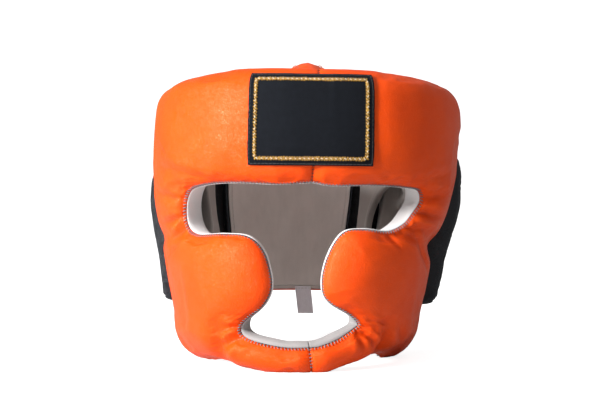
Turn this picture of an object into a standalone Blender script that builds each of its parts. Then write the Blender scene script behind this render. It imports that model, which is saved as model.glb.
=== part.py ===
"""A full-face training head guard in padded leather, standing on its cheek pads and chin bar.

Metres, +Z up. The guard faces -Y, and its wearer's right side is at -X. Every pad, lining and strap
is laid on one head form: a place on it is an angle round the head from the front, a height, and an
offset out from the form, which is the face of the lining that touches the head.
"""

import math

import bmesh
import bpy
import numpy as np
from mathutils import Matrix

# Hollow that the head goes in
GUARD_HEIGHT = 0.218
HOLLOW_HALF_WIDTH = 0.0915
HOLLOW_FRONT = 0.098
HOLLOW_BACK = 0.100
SQUARENESS = 2.25
LEAN_ACROSS = 0.0125
BACK_TWIST = math.radians(8.5)
TWIST_START = math.radians(90)
TWIST_LENGTH = math.radians(60)
FLAT_RADIUS = 0.100

# Front pads, their lining and the face opening
PAD_THICKNESS = 0.028
LINING_THICKNESS = 0.002
PIECE_GAP = 0.0003
SEAM_HEIGHT = 0.015
RIM_WIDTH = 0.0018
CHIN_RIM_WIDTH = 0.0044
CHIN_RIM_TOP = 0.040
RIM_UNDERCUT = 0.0042
RIM_GAP = 0.0006
OPENING_HALF_WIDTH = 0.088
INNER_ROUNDING = 0.027
OUTER_ROUNDING = 0.022
JAW_ROUNDING = 0.034
JAW_HEIGHT = 0.070
JAW_ANGLE = math.radians(45)
LINING_INSET = 0.006
CENTRE_SEAM_DIP = 0.0022
CENTRE_SEAM_WIDTH = 0.005
REAR_EDGE_ANGLE = math.radians(90)
BAND_END_ANGLE = math.radians(112)

# Ear panels and ear frames
EAR_FRAME_THICKNESS = 0.010
EAR_PANEL_THICKNESS = 0.007
EAR_CUP_DEPTH = 0.016
EAR_CUP_ROUNDING = 0.011
EAR_FLARE = 0.008
EAR_REAR_ANGLE = math.radians(141.5)
EAR_CLEARANCE = 0.0016
PANEL_FOOT = 0.041
REAR_HEIGHT = 0.155

# Back pad and closure
BACK_GAP_RIGHT = math.radians(9)
BACK_GAP_LEFT = math.radians(4.5)
BACK_FOOT = 0.0428
BACK_LINING_INSET = 0.0012
BACK_PAD_THICKNESS = 0.014
BACK_EDGE_THICKNESS = 0.002
BACK_ROUNDING = 0.013
STRAP_HEIGHT = 0.072
STRAP_MIDDLE = 0.115
STRAP_THICKNESS = 0.0028
STRAP_OVERLAP = 0.024
STRAP_CLEARANCE = 0.0005
CROWN_STRAP_WIDTH = 0.025
CROWN_STRAP_SHIFT = 0.008
CROWN_STRAP_THICKNESS = 0.005
CROWN_RISE = 0.0083
CROWN_SEWN_LENGTH = 0.018

# Badge and size label
BADGE_WIDTH = 0.0915
BADGE_HEIGHT = 0.0620
BADGE_BELOW_TOP = 0.0064
BADGE_THICKNESS = 0.0012
BADGE_OFF_CENTRE = 0.0006
BADGE_TILT = math.radians(2)
BORDER_INSET = 0.0032
BORDER_WIDTH = 0.0032
BORDER_THICKNESS = 0.0010
BADGE_GAP = 0.0005
LABEL_WIDTH = 0.0134
LABEL_LENGTH = 0.0225
LABEL_SEWN_LENGTH = 0.003
LABEL_THICKNESS = 0.0007
LABEL_OFF_CENTRE = 0.0190
LABEL_SLANT = math.radians(9)

# Columns: height, half width, front reach and back reach, each a share of the hollow's own size
FORM_SECTIONS = (
    (0.00, 0.710, 0.955, 0.80),
    (0.20, 0.755, 0.975, 0.84),
    (0.38, 0.855, 0.990, 0.90),
    (0.56, 0.980, 1.000, 0.97),
    (0.80, 1.000, 0.990, 1.00),
    (1.00, 0.940, 0.920, 0.96),
)

# Columns: seam across and seam up, as shares of the opening's half width and the guard's height;
# outer edge's angle in degrees and height as a share; fullness as a share of the pad's thickness.
# The tables' 84 and 112 degrees stand for the rear edge of the cheek and the end of the brow band.
TABLE_ANGLES = (0, 84, 112, 180)
WEARERS_RIGHT_STATIONS = (
    (0.03, 0.634, 2.0, 1.008, 1.00),
    (-0.25, 0.628, -24.0, 1.010, 1.00),
    (-0.60, 0.632, -56.0, 0.985, 1.00),
    (-0.83, 0.624, -86.0, 0.945, 1.00),
    (-0.965, 0.602, -110.0, 0.905, 0.97),
    (-1.00, 0.542, -111.0, 0.775, 0.96),
    (-0.965, 0.486, -89.0, 0.620, 0.94),
    (-0.87, 0.462, -84.0, 0.458, 0.97),
    (-0.66, 0.463, -84.0, 0.379, 1.00),
    (-0.466, 0.454, -84.0, 0.310, 1.03),
    (-0.338, 0.409, -83.5, 0.246, 1.04),
    (-0.262, 0.329, -83.0, 0.172, 1.04),
    (-0.252, 0.273, -82.0, 0.070, 1.02),
    (-0.310, 0.221, -77.0, -0.010, 0.98),
    (-0.441, 0.165, -50.0, 0.008, 0.92),
    (-0.452, 0.130, -34.0, 0.020, 0.86),
    (-0.365, 0.105, -22.0, 0.006, 0.86),
    (-0.12, 0.085, -8.0, -0.013, 0.90),
    (0.085, 0.085, 5.3, -0.015, 0.92),
)
WEARERS_LEFT_STATIONS = (
    (0.03, 0.634, 2.0, 1.008, 1.00),
    (0.22, 0.624, 24.0, 1.002, 1.00),
    (0.55, 0.626, 56.0, 0.980, 1.00),
    (0.80, 0.620, 86.0, 0.940, 1.00),
    (0.932, 0.609, 110.0, 0.905, 0.99),
    (0.957, 0.571, 111.0, 0.800, 0.98),
    (0.905, 0.540, 89.0, 0.705, 0.98),
    (0.82, 0.502, 84.0, 0.495, 0.86),
    (0.68, 0.476, 84.0, 0.379, 0.88),
    (0.48, 0.480, 84.0, 0.319, 0.96),
    (0.328, 0.471, 84.0, 0.265, 1.00),
    (0.233, 0.423, 83.5, 0.211, 1.02),
    (0.170, 0.344, 82.0, 0.142, 1.02),
    (0.170, 0.275, 82.0, 0.070, 1.00),
    (0.235, 0.236, 76.0, -0.010, 0.98),
    (0.385, 0.197, 53.0, 0.020, 0.92),
    (0.456, 0.164, 41.0, 0.034, 0.86),
    (0.420, 0.146, 30.0, 0.032, 0.84),
    (0.30, 0.111, 20.0, 0.015, 0.86),
    (0.165, 0.089, 11.0, -0.008, 0.90),
    (0.085, 0.085, 5.3, -0.015, 0.92),
)

# Columns: angle in degrees, height share, reach round and reach up as shares of the guard's
# height, slant in degrees, depth as a share of the pad's thickness
DENTS = (
    (-70.0, 0.475, 0.13, 0.030, 12.0, 0.08),
    (-58.0, 0.425, 0.07, 0.020, 32.0, 0.09),
    (70.0, 0.440, 0.17, 0.036, -10.0, 0.17),
    (52.0, 0.410, 0.09, 0.020, -38.0, 0.13),
    (-30.0, 0.070, 0.030, 0.090, -14.0, 0.18),
    (34.0, 0.075, 0.026, 0.100, 16.0, 0.24),
    (42.0, 0.125, 0.060, 0.020, -40.0, 0.13),
)

# Columns: share of the way from an ear panel's front edge to its rear one, foot and top as
# shares of the rear's height above the panel's foot
EAR_PANEL_OUTLINE = (
    (0.00, 0.140, 1.000),
    (0.10, 0.025, 1.000),
    (0.25, 0.000, 1.000),
    (0.85, 0.000, 1.000),
    (1.00, 0.035, 0.965),
)
# Columns: side, hole's middle in degrees, its height share, half width in degrees, half height
# share, the cup's depth as a share of the named one, and how many degrees the rear of the frame
# leans back for each tenth of the guard's height
EARS = (
    ("right", 120.0, 0.46, 14.5, 0.25, 0.84, 0.0),
    ("left", 124.0, 0.38, 12.0, 0.21, 1.16, 0.7),
)
EAR_LEAN_START = math.radians(112)
EAR_LEAN_LENGTH = math.radians(26)

# Columns: share of the rim's width into the opening, share of the seam's height
RIM_PROFILE = ((0.0, 1.0), (0.62, 0.94), (1.0, 0.70), (0.9, 0.30), (0.5, 0.05))
# Columns: share of the way from the ear's hole to the frame's edge, share of its thickness
FRAME_PROFILE = (
    (0.00, 0.34),
    (0.04, 0.10),
    (0.12, 0.00),
    (0.55, 0.00),
    (1.00, 0.00),
    (1.00, 1.00),
    (0.55, 1.00),
    (0.12, 1.00),
    (0.04, 0.90),
    (0.00, 0.66),
)
# Columns: share of the way from the brow to the back, share of the rise to the crown's top
CROWN_ARCH = ((0.12, 0.66), (0.28, 0.98), (0.52, 0.98), (0.78, 0.74))

OUTER_STEPS = (0.0, 0.012, 0.035, 0.075, 0.14, 0.25, 0.40, 0.57, 0.73, 0.85, 0.93, 0.975, 1.0)
BASE_STEPS = (1.0, 0.80, 0.58, 0.36, 0.16, 0.0)
STATIONS_PER_ROW = 2.0

COLOURS = {
    "orange_leather": ((0.86, 0.17, 0.02), 0.38),
    "lining_suede": ((0.55, 0.51, 0.48), 0.90),
    "black_leather": ((0.018, 0.019, 0.022), 0.42),
    "black_webbing": ((0.015, 0.015, 0.017), 0.85),
    "badge_cloth": ((0.012, 0.014, 0.018), 0.80),
    "gold_thread": ((0.62, 0.36, 0.03), 0.45),
    "label_cloth": ((0.60, 0.57, 0.58), 0.85),
}


def curve_through(values, rows):
    """Values of a smooth curve through equally spaced rows, read at fractional row numbers."""
    values = np.asarray(values, float)
    rows = np.clip(np.asarray(rows, float), 0, len(values) - 1)
    first = np.minimum(rows.astype(int), len(values) - 2)
    part = rows - first
    ends = np.concatenate([[2 * values[0] - values[1]], values, [2 * values[-1] - values[-2]]])
    before, start, end, after = (ends[first + k] for k in range(4))
    return 0.5 * (
        2 * start
        + (end - before) * part
        + (2 * before - 5 * start + 4 * end - after) * part**2
        + (3 * start - before - 3 * end + after) * part**3
    )


def from_table(table, column, key):
    """A table's column read smoothly at a value of its first column."""
    keys = [row[0] for row in table]
    return curve_through([row[column] for row in table], np.interp(key, keys, range(len(keys))))


def eased(value):
    value = np.clip(value, 0, 1)
    return value * value * (3 - 2 * value)


def rounded_rise(distance, reach):
    """A quarter-round rise from 0 at a pad's edge to 1 at the reach of its rounding."""
    share = np.clip(np.asarray(distance, float) / reach, 0, 1)
    return np.sqrt(np.maximum(0, 1 - (1 - share) ** 2))


def form_reaches(height):
    up = np.asarray(height, float) / GUARD_HEIGHT
    return (
        HOLLOW_HALF_WIDTH * from_table(FORM_SECTIONS, 1, up),
        HOLLOW_FRONT * from_table(FORM_SECTIONS, 2, up),
        HOLLOW_BACK * from_table(FORM_SECTIONS, 3, up),
    )


def form_point(angle, height):
    """A point on the head form. The rear is turned a little, as the guard closes off-centre."""
    angle, height = np.broadcast_arrays(np.asarray(angle, float), np.asarray(height, float))
    turned = angle + BACK_TWIST * eased((np.abs(angle) - TWIST_START) / TWIST_LENGTH)
    half_width, front, back = form_reaches(height)
    depth = np.where(np.cos(turned) > 0, front, back)
    radius = (
        np.abs(np.sin(turned) / half_width) ** SQUARENESS
        + np.abs(np.cos(turned) / depth) ** SQUARENESS
    ) ** (-1 / SQUARENESS)
    lean = LEAN_ACROSS * (height / GUARD_HEIGHT - 0.5)
    return np.stack([radius * np.sin(turned) + lean, -radius * np.cos(turned), height], -1)


def place(angle, height, offset):
    """Points at an offset out from the head form, square to it."""
    step = 1e-3
    round_head = form_point(angle + step, height) - form_point(angle - step, height)
    up_head = form_point(angle, height + step * FLAT_RADIUS)
    up_head = up_head - form_point(angle, height - step * FLAT_RADIUS)
    normal = np.cross(round_head, up_head)
    normal /= np.linalg.norm(normal, axis=-1, keepdims=True)
    return form_point(angle, height) + normal * np.asarray(offset, float)[..., None]


def angle_across(across, height, offset):
    """The angle at which a point raised that far off the form lies that far across."""
    half_width, front, _ = form_reaches(height)
    share = np.clip(np.abs(across) / (half_width + offset), 0, 0.999)
    depth = (front + offset) * (1 - share**SQUARENESS) ** (1 / SQUARENESS)
    return np.arctan2(across, depth)


def seam_rows(stations):
    """The face opening's seam on the flattened form: (length round, height) for each row."""
    across = np.array([row[0] for row in stations]) * OPENING_HALF_WIDTH
    up = np.array([row[1] for row in stations]) * GUARD_HEIGHT
    return FLAT_RADIUS * angle_across(across, up, SEAM_HEIGHT), up


def edge_rows(stations):
    """The front pad's outer edge on the flattened form, for each row."""
    degrees = np.array([row[2] for row in stations])
    named = np.interp(np.abs(degrees), TABLE_ANGLES, (0, REAR_EDGE_ANGLE, BAND_END_ANGLE, math.pi))
    angle = np.sign(degrees) * named
    return FLAT_RADIUS * angle, np.array([row[3] for row in stations]) * GUARD_HEIGHT


def smooth_loop(rows, count):
    """Both coordinates of a line through the rows, at evenly numbered places."""
    where = np.linspace(0, len(rows[0]) - 1, count)
    return np.stack([curve_through(rows[0], where), curve_through(rows[1], where)], -1)


def distance_to(points, line):
    """Distance from each flat point to a line of flat points."""
    start, along = line[:-1], np.diff(line, axis=0)
    away = points[..., None, :] - start
    share = (away * along).sum(-1) / np.maximum((along * along).sum(-1), 1e-12)
    nearest = start + np.clip(share, 0, 1)[..., None] * along
    return np.linalg.norm(points[..., None, :] - nearest, axis=-1).min(-1)


def dent_depth(flat, table):
    """How far the outer leather is drawn in by its puckers and folds."""
    depth = np.zeros(flat.shape[:-1])
    for degrees, up, round_reach, up_reach, slant, share in table:
        across = flat[..., 0] - FLAT_RADIUS * math.radians(degrees)
        above = flat[..., 1] - up * GUARD_HEIGHT
        turn = math.radians(slant)
        along = across * math.cos(turn) + above * math.sin(turn)
        over = above * math.cos(turn) - across * math.sin(turn)
        reach = (along / (round_reach * GUARD_HEIGHT)) ** 2 + (over / (up_reach * GUARD_HEIGHT)) ** 2
        depth += share * PAD_THICKNESS * np.exp(-reach)
    return depth


def pad_offset(flat, fullness, seam_line, edge_line, centre_line):
    """Offset of a front pad's outer leather: puffed, rounded at both edges, dipped at the seam."""
    base = LINING_THICKNESS + PIECE_GAP
    full = PAD_THICKNESS * fullness - dent_depth(flat, DENTS)
    inner = SEAM_HEIGHT + (full - SEAM_HEIGHT) * rounded_rise(distance_to(flat, seam_line), INNER_ROUNDING)
    jaw = eased(1 - flat[..., 1] / JAW_HEIGHT) * eased(np.abs(flat[..., 0]) / FLAT_RADIUS / JAW_ANGLE - 0.5)
    reach = OUTER_ROUNDING + (JAW_ROUNDING - OUTER_ROUNDING) * jaw
    outer = rounded_rise(distance_to(flat, edge_line), reach)
    dip = CENTRE_SEAM_DIP * np.exp(-((distance_to(flat, centre_line) / CENTRE_SEAM_WIDTH) ** 2))
    return base + (inner - dip - base) * outer


def on_floor(points, level=0.0):
    """What would hang below the floor is pressed flat on it."""
    points = np.array(points)
    points[..., 2] = np.maximum(points[..., 2], level)
    return points


def material(name):
    made = bpy.data.materials.get(name) or bpy.data.materials.new(name)
    colour, roughness = COLOURS[name]
    made.use_nodes = True
    shader = made.node_tree.nodes["Principled BSDF"]
    shader.inputs["Base Color"].default_value = (*colour, 1)
    shader.inputs["Roughness"].default_value = roughness
    made.diffuse_color = (*colour, 1)
    return made


def finish(mesh_data, name, slot):
    """An object made from a bmesh, welded, facing out and shaded smooth."""
    bmesh.ops.remove_doubles(mesh_data, verts=mesh_data.verts, dist=1e-6)
    bmesh.ops.recalc_face_normals(mesh_data, faces=mesh_data.faces)
    mesh = bpy.data.meshes.new(name)
    mesh_data.to_mesh(mesh)
    mesh_data.free()
    mesh.materials.append(material(slot))
    mesh.shade_smooth()
    mesh.set_sharp_from_angle(angle=math.radians(50))
    made = bpy.data.objects.new(name, mesh)
    bpy.context.scene.collection.objects.link(made)
    return made


def loft(name, sections, slot, closed=False):
    """A solid skinned over equal sections, either closed into a ring or capped at both ends."""
    mesh_data = bmesh.new()
    rings = [[mesh_data.verts.new(point) for point in section] for section in sections]
    pairs = list(zip(rings, rings[1:])) + ([(rings[-1], rings[0])] if closed else [])
    for ring, following in pairs:
        for k in range(len(ring)):
            after = (k + 1) % len(ring)
            mesh_data.faces.new((ring[k], ring[after], following[after]))
            mesh_data.faces.new((ring[k], following[after], following[k]))
    if not closed:
        mesh_data.faces.new(rings[0])
        mesh_data.faces.new(rings[-1])
        bmesh.ops.triangulate(mesh_data, faces=[f for f in mesh_data.faces if len(f.verts) > 4])
    return finish(mesh_data, name, slot)


def slab(name, inner, outer, slot):
    """A solid between two equal grids of points, which meet or are walled round their edges."""
    mesh_data = bmesh.new()
    faces = []
    for grid in (inner, outer):
        faces.append([[mesh_data.verts.new(point) for point in row] for row in grid])
    low, high = faces
    rows, columns = len(low), len(low[0])
    for grid in faces:
        for i in range(rows - 1):
            for j in range(columns - 1):
                mesh_data.faces.new((grid[i][j], grid[i][j + 1], grid[i + 1][j + 1], grid[i + 1][j]))
    border = [(0, j) for j in range(columns)] + [(i, columns - 1) for i in range(1, rows)]
    border += [(rows - 1, j) for j in range(columns - 2, -1, -1)] + [(i, 0) for i in range(rows - 2, 0, -1)]
    for (i, j), (k, m) in zip(border, border[1:] + border[:1]):
        mesh_data.faces.new((low[i][j], low[k][m], high[k][m], high[i][j]))
    return finish(mesh_data, name, slot)


def front_layout():
    """The front pads' seams and edges on the flattened form, and the middle seams between them."""
    sides = {"right": WEARERS_RIGHT_STATIONS, "left": WEARERS_LEFT_STATIONS}
    seams = {side: smooth_loop(seam_rows(rows), 140) for side, rows in sides.items()}
    edges = {side: smooth_loop(edge_rows(rows), 140) for side, rows in sides.items()}
    middle = np.array([seams["left"][0], edges["left"][0], seams["left"][-1], edges["left"][-1]])
    return sides, seams, edges, middle


def front_lines():
    """The lines that a front pad's surface is measured from: seam, edge, middle seams."""
    _, seams, edges, middle = front_layout()
    seam_line = np.concatenate([seams["right"][::-1], seams["left"]])
    edge_line = np.concatenate([edges["right"][::-1], edges["left"]])
    return seam_line, edge_line, middle


def station_lines(stations, side):
    """Seam points, their directions into the opening, edge points and fullness of a half's rows."""
    count = round((len(stations) - 1) * STATIONS_PER_ROW) + 1
    seam = smooth_loop(seam_rows(stations), count)
    edge = smooth_loop(edge_rows(stations), count)
    fullness = curve_through([row[4] for row in stations], np.linspace(0, len(stations) - 1, count))
    along = np.gradient(seam, axis=0)
    along /= np.linalg.norm(along, axis=-1, keepdims=True)
    turn = -1 if side == "right" else 1
    into_opening = turn * np.stack([along[:, 1], -along[:, 0]], -1)
    into_opening[0] = (0, -1)
    into_opening[-1] = (0, 1)
    return seam, into_opening, edge, fullness


def chin_share(height):
    """1 over the chin bar, where the rim is full, and 0 round the eyes and cheeks."""
    return eased((CHIN_RIM_TOP - height) / (CHIN_RIM_TOP / 2))


def undercut(height):
    """How far the rim's inner wall runs back under the pad."""
    return RIM_UNDERCUT * (1 - chin_share(height))


def sheet_points(seam_point, into_opening, edge_point):
    """Points of the lining's flat sheet and of the pad's back, from the edge to the undercut."""
    last = 1 - LINING_INSET / np.linalg.norm(edge_point - seam_point)
    steps = np.array(BASE_STEPS)[:, None]
    under = (1 - steps) * undercut(seam_point[1]) * into_opening
    return seam_point + last * steps * (edge_point - seam_point) - under


def front_pad_section(seam_point, into_opening, edge_point, fullness, lines):
    """One cross-section of a front pad, from the face seam over the outer leather and back."""
    flat = seam_point + np.array(OUTER_STEPS)[:, None] * (edge_point - seam_point)
    over = place(flat[:, 0] / FLAT_RADIUS, flat[:, 1], pad_offset(flat, fullness, *lines))
    flat = sheet_points(seam_point, into_opening, edge_point)
    offset = np.full(len(flat), LINING_THICKNESS + PIECE_GAP)
    offset[-1] += RIM_GAP
    return on_floor(np.concatenate([over, place(flat[:, 0] / FLAT_RADIUS, flat[:, 1], offset)]))


def lining_section(seam_point, into_opening, edge_point):
    """One cross-section of the lining: the rolled rim round the opening, then the flat sheet."""
    sheet = sheet_points(seam_point, into_opening, edge_point)
    width = RIM_WIDTH + (CHIN_RIM_WIDTH - RIM_WIDTH) * chin_share(seam_point[1])
    reaches = [max(share * width, RIM_GAP) - (1 - up) * undercut(seam_point[1]) for share, up in RIM_PROFILE]
    rim = [seam_point + reach * into_opening for reach in reaches]
    under = 1 - LINING_THICKNESS / SEAM_HEIGHT
    behind = seam_point + (RIM_GAP - under * undercut(seam_point[1])) * into_opening
    flat = np.concatenate([rim, sheet[-2::-1], sheet[:-1], [behind]])
    offset = [share * SEAM_HEIGHT for _, share in RIM_PROFILE]
    offset += [0.0] * (len(sheet) - 1) + [LINING_THICKNESS] * len(sheet)
    return on_floor(place(flat[:, 0] / FLAT_RADIUS, flat[:, 1], np.array(offset)), PIECE_GAP)


def middle_plane(seam_point, into_opening, edge_point, lines):
    """The plane of a middle seam, as a point on it and its normal towards +X."""
    points = front_pad_section(seam_point, into_opening, edge_point, 1.0, lines)
    centre = points.mean(0)
    normal = np.linalg.svd(points - centre)[2][-1]
    return centre, normal * np.sign(normal[0])


def front_pads():
    """The two padded halves, sewn together up the middle of the brow and of the chin bar."""
    lines = front_lines()
    sides, _, _, middle = front_layout()
    planes = {
        0: middle_plane(middle[0], np.array([0, -1]), middle[1], lines),
        -1: middle_plane(middle[2], np.array([0, 1]), middle[3], lines),
    }
    for side, stations in sides.items():
        turn = -1 if side == "right" else 1
        seam, into_opening, edge, fullness = station_lines(stations, side)
        pads = [front_pad_section(*parts, lines) for parts in zip(seam, into_opening, edge, fullness)]
        linings = [lining_section(*parts) for parts in zip(seam, into_opening, edge)]
        for sections in (pads, linings):
            for end, (centre, normal) in planes.items():
                away = (sections[end] - centre) @ normal - turn * PIECE_GAP
                level = PIECE_GAP if sections is linings else 0.0
                sections[end] = on_floor(sections[end] - away[:, None] * normal, level)
        loft(f"front_pad_{side}", pads, "orange_leather")
        loft(f"front_lining_{side}", linings, "lining_suede")


def rear_lean(angle, height, lean):
    """An ear frame's rear end leans back towards its top, where the guard is pulled shut."""
    share = eased((angle - EAR_LEAN_START) / EAR_LEAN_LENGTH)
    middle = PANEL_FOOT + REAR_HEIGHT / 2
    return angle + share * math.radians(lean) * (height - middle) / (0.1 * GUARD_HEIGHT)


def ear_columns(edge):
    """Columns of an ear's outline: angles, feet and tops, kept clear of the front pad's edge."""
    along, up = np.abs(edge[:, 0]), edge[:, 1]
    end = along.argmax()
    start = end + np.argmax(along[end:] <= FLAT_RADIUS * REAR_EDGE_ANGLE)
    under = np.stack([along[end:start + 1], up[end:start + 1]], -1)[::-1]
    under = np.maximum.accumulate(under, axis=0)
    length = np.concatenate([[0], np.cumsum(np.linalg.norm(np.diff(under, axis=0), axis=1))])
    steps = np.linspace(0, length[-1], 11)
    under = np.stack([np.interp(steps, length, under[:, k]) for k in range(2)], -1)
    behind = np.linspace(under[-1, 0] + 1.5 * EAR_CLEARANCE, FLAT_RADIUS * EAR_REAR_ANGLE, 7)
    angles = np.concatenate([under[:, 0] + EAR_CLEARANCE, behind]) / FLAT_RADIUS
    across = (angles - angles[0]) / (angles[-1] - angles[0])
    foot = PANEL_FOOT + REAR_HEIGHT * from_table(EAR_PANEL_OUTLINE, 1, across)
    top = PANEL_FOOT + REAR_HEIGHT * from_table(EAR_PANEL_OUTLINE, 2, across)
    top[:len(under)] = np.minimum(top[:len(under)], under[:, 1] - EAR_CLEARANCE)
    return angles, foot, top


def ear_outline(angles, foot, top):
    """The ear's outline on the flattened form, once round from its front lower corner."""
    def between(start, end, count):
        return [start + share * (end - start) for share in np.linspace(0, 1, count + 2)[1:-1]]

    low = [np.array([FLAT_RADIUS * angle, height]) for angle, height in zip(angles, foot)]
    low = low[:-1:2] + low[-1:]
    high = [np.array([FLAT_RADIUS * angle, height]) for angle, height in zip(angles, top)]
    points = low + between(low[-1], high[-1], 6)
    for k in range(len(high) - 1, 0, -1):
        points.append(high[k])
        points += between(high[k], high[k - 1], 2 if abs(top[k] - top[k - 1]) > EAR_FRAME_THICKNESS else 0)
    points.append(high[0])
    return np.array(points + between(high[0], low[0], 3))


def ear_frame(side, columns, middle, up, half_width, half_height, lean):
    """A padded suede frame round the ear: an oval hole in an outline like the ear panel's."""
    sign = -1 if side == "right" else 1
    centre = np.array([FLAT_RADIUS * math.radians(middle), PANEL_FOOT + up * REAR_HEIGHT])
    hole = np.array([FLAT_RADIUS * math.radians(half_width), half_height * REAR_HEIGHT])
    sections = []
    for end in ear_outline(*columns):
        ray = (end - centre) / np.linalg.norm(end - centre)
        start = centre + ray / np.linalg.norm(ray / hole)
        shares = np.array([share for share, _ in FRAME_PROFILE])[:, None]
        heights = np.array([height for _, height in FRAME_PROFILE])
        flat = start + shares * (end - start)
        angle = rear_lean(flat[:, 0] / FLAT_RADIUS, flat[:, 1], lean)
        sections.append(place(sign * angle, flat[:, 1], EAR_FRAME_THICKNESS * heights))
    return loft(f"ear_frame_{side}", sections, "lining_suede", closed=True)


def ear_panel(side, columns, depth, lean):
    """A domed black leather panel outside the ear frame, which leaves a pocket for the ear."""
    sign = -1 if side == "right" else 1
    angles, foot, top = columns
    outline = ear_outline(*columns)
    rows = spread(0.0, 1.0, 12)
    angle = np.repeat(angles[:, None], len(rows), axis=1)
    height = foot[:, None] + rows * (top - foot)[:, None]
    inwards = distance_to(np.stack([FLAT_RADIUS * angle, height], -1), np.vstack([outline, outline[:1]]))
    flare = EAR_FLARE * (1 - (height - PANEL_FOOT) / REAR_HEIGHT) ** 2
    bulge = (depth * EAR_CUP_DEPTH + flare) * rounded_rise(inwards, EAR_CUP_ROUNDING)
    thickness = EAR_PANEL_THICKNESS * (0.35 + 0.65 * rounded_rise(inwards, EAR_PANEL_THICKNESS))
    angle = sign * rear_lean(angle, height, lean)
    base = EAR_FRAME_THICKNESS + PIECE_GAP + bulge
    slab(f"ear_panel_{side}", place(angle, height, base), place(angle, height, base + thickness), "black_leather")


def spread(start, end, count):
    """Places from start to end, closer together towards both."""
    return start + (0.5 - 0.5 * np.cos(math.pi * np.linspace(0, 1, count))) * (end - start)


def back_edges():
    """The back pad's side angles, left one first, its foot and its top."""
    low, high = EAR_REAR_ANGLE + BACK_GAP_LEFT, 2 * math.pi - EAR_REAR_ANGLE - BACK_GAP_RIGHT
    return low, high, BACK_FOOT, PANEL_FOOT + REAR_HEIGHT


def back_pad():
    """The padded back with its suede lining, in the gap between the ear panels' rear edges."""
    low, high, foot, top = back_edges()
    angle, height = np.meshgrid(spread(low, high, 13), spread(foot, top, 11), indexing="ij")
    aside = FLAT_RADIUS * np.minimum(angle - low, high - angle)
    above = np.minimum(height - foot, top - height)
    rise = rounded_rise(aside, BACK_ROUNDING) * rounded_rise(above, BACK_ROUNDING)
    base = LINING_THICKNESS + PIECE_GAP
    inner = place(angle, height, np.full(angle.shape, base))
    swell = BACK_EDGE_THICKNESS + (BACK_PAD_THICKNESS - BACK_EDGE_THICKNESS) * rise
    slab("back_pad", inner, place(angle, height, base + swell), "orange_leather")
    inset = BACK_LINING_INSET
    side = inset / FLAT_RADIUS
    columns, rows = spread(low + side, high - side, 13), spread(foot + inset, top - inset, 9)
    angle, height = np.meshgrid(columns, rows, indexing="ij")
    level = np.zeros(angle.shape)
    inner = place(angle, height, level)
    slab("back_lining", inner, place(angle, height, level + LINING_THICKNESS), "lining_suede")


def closure_strap(side, layer):
    """A hook-and-loop strap from an ear panel's rear edge, round over the back pad."""
    sign = -1 if side == "right" else 1
    low = 2 * math.pi - back_edges()[1] if side == "right" else back_edges()[0]
    start = EAR_REAR_ANGLE + PIECE_GAP / FLAT_RADIUS
    end = math.pi + STRAP_OVERLAP / FLAT_RADIUS
    foot, top = STRAP_MIDDLE - STRAP_HEIGHT / 2, STRAP_MIDDLE + STRAP_HEIGHT / 2
    angle, height = np.meshgrid(np.linspace(start, end, 15), np.linspace(foot, top, 7), indexing="ij")
    sewn = EAR_FRAME_THICKNESS + PIECE_GAP
    laid = LINING_THICKNESS + PIECE_GAP + BACK_PAD_THICKNESS + STRAP_CLEARANCE
    laid += layer * (STRAP_THICKNESS + STRAP_CLEARANCE)
    offset = sewn + (laid - sewn) * eased((angle - start) / (low - start))
    lean = next(row[-1] for row in EARS if row[0] == side)
    share = 1 - eased((angle - start) / (low - start))
    angle = angle + share * (rear_lean(angle, height, lean) - angle)
    inner = place(sign * angle, height, offset)
    slab(f"closure_strap_{side}", inner, place(sign * angle, height, offset + STRAP_THICKNESS), "black_webbing")


def form_depth(across, height, reach):
    """How far the form reaches forward or back, at a place across it."""
    half_width = form_reaches(height)[0]
    lean = LEAN_ACROSS * (height / GUARD_HEIGHT - 0.5)
    share = np.clip(np.abs(across - lean) / half_width, 0, 0.999)
    return reach * (1 - share**SQUARENESS) ** (1 / SQUARENESS)


def strap_seat(across, height, front):
    """A point on the strap's outer face, where its whole width is just clear of the lining."""
    aside = across + np.linspace(-0.5, 0.5, 9) * CROWN_STRAP_WIDTH
    reach = form_reaches(height)[1 if front else 2]
    depth = form_depth(aside, height, reach).min() - PIECE_GAP
    return np.array([across, -depth if front else depth, height])


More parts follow.
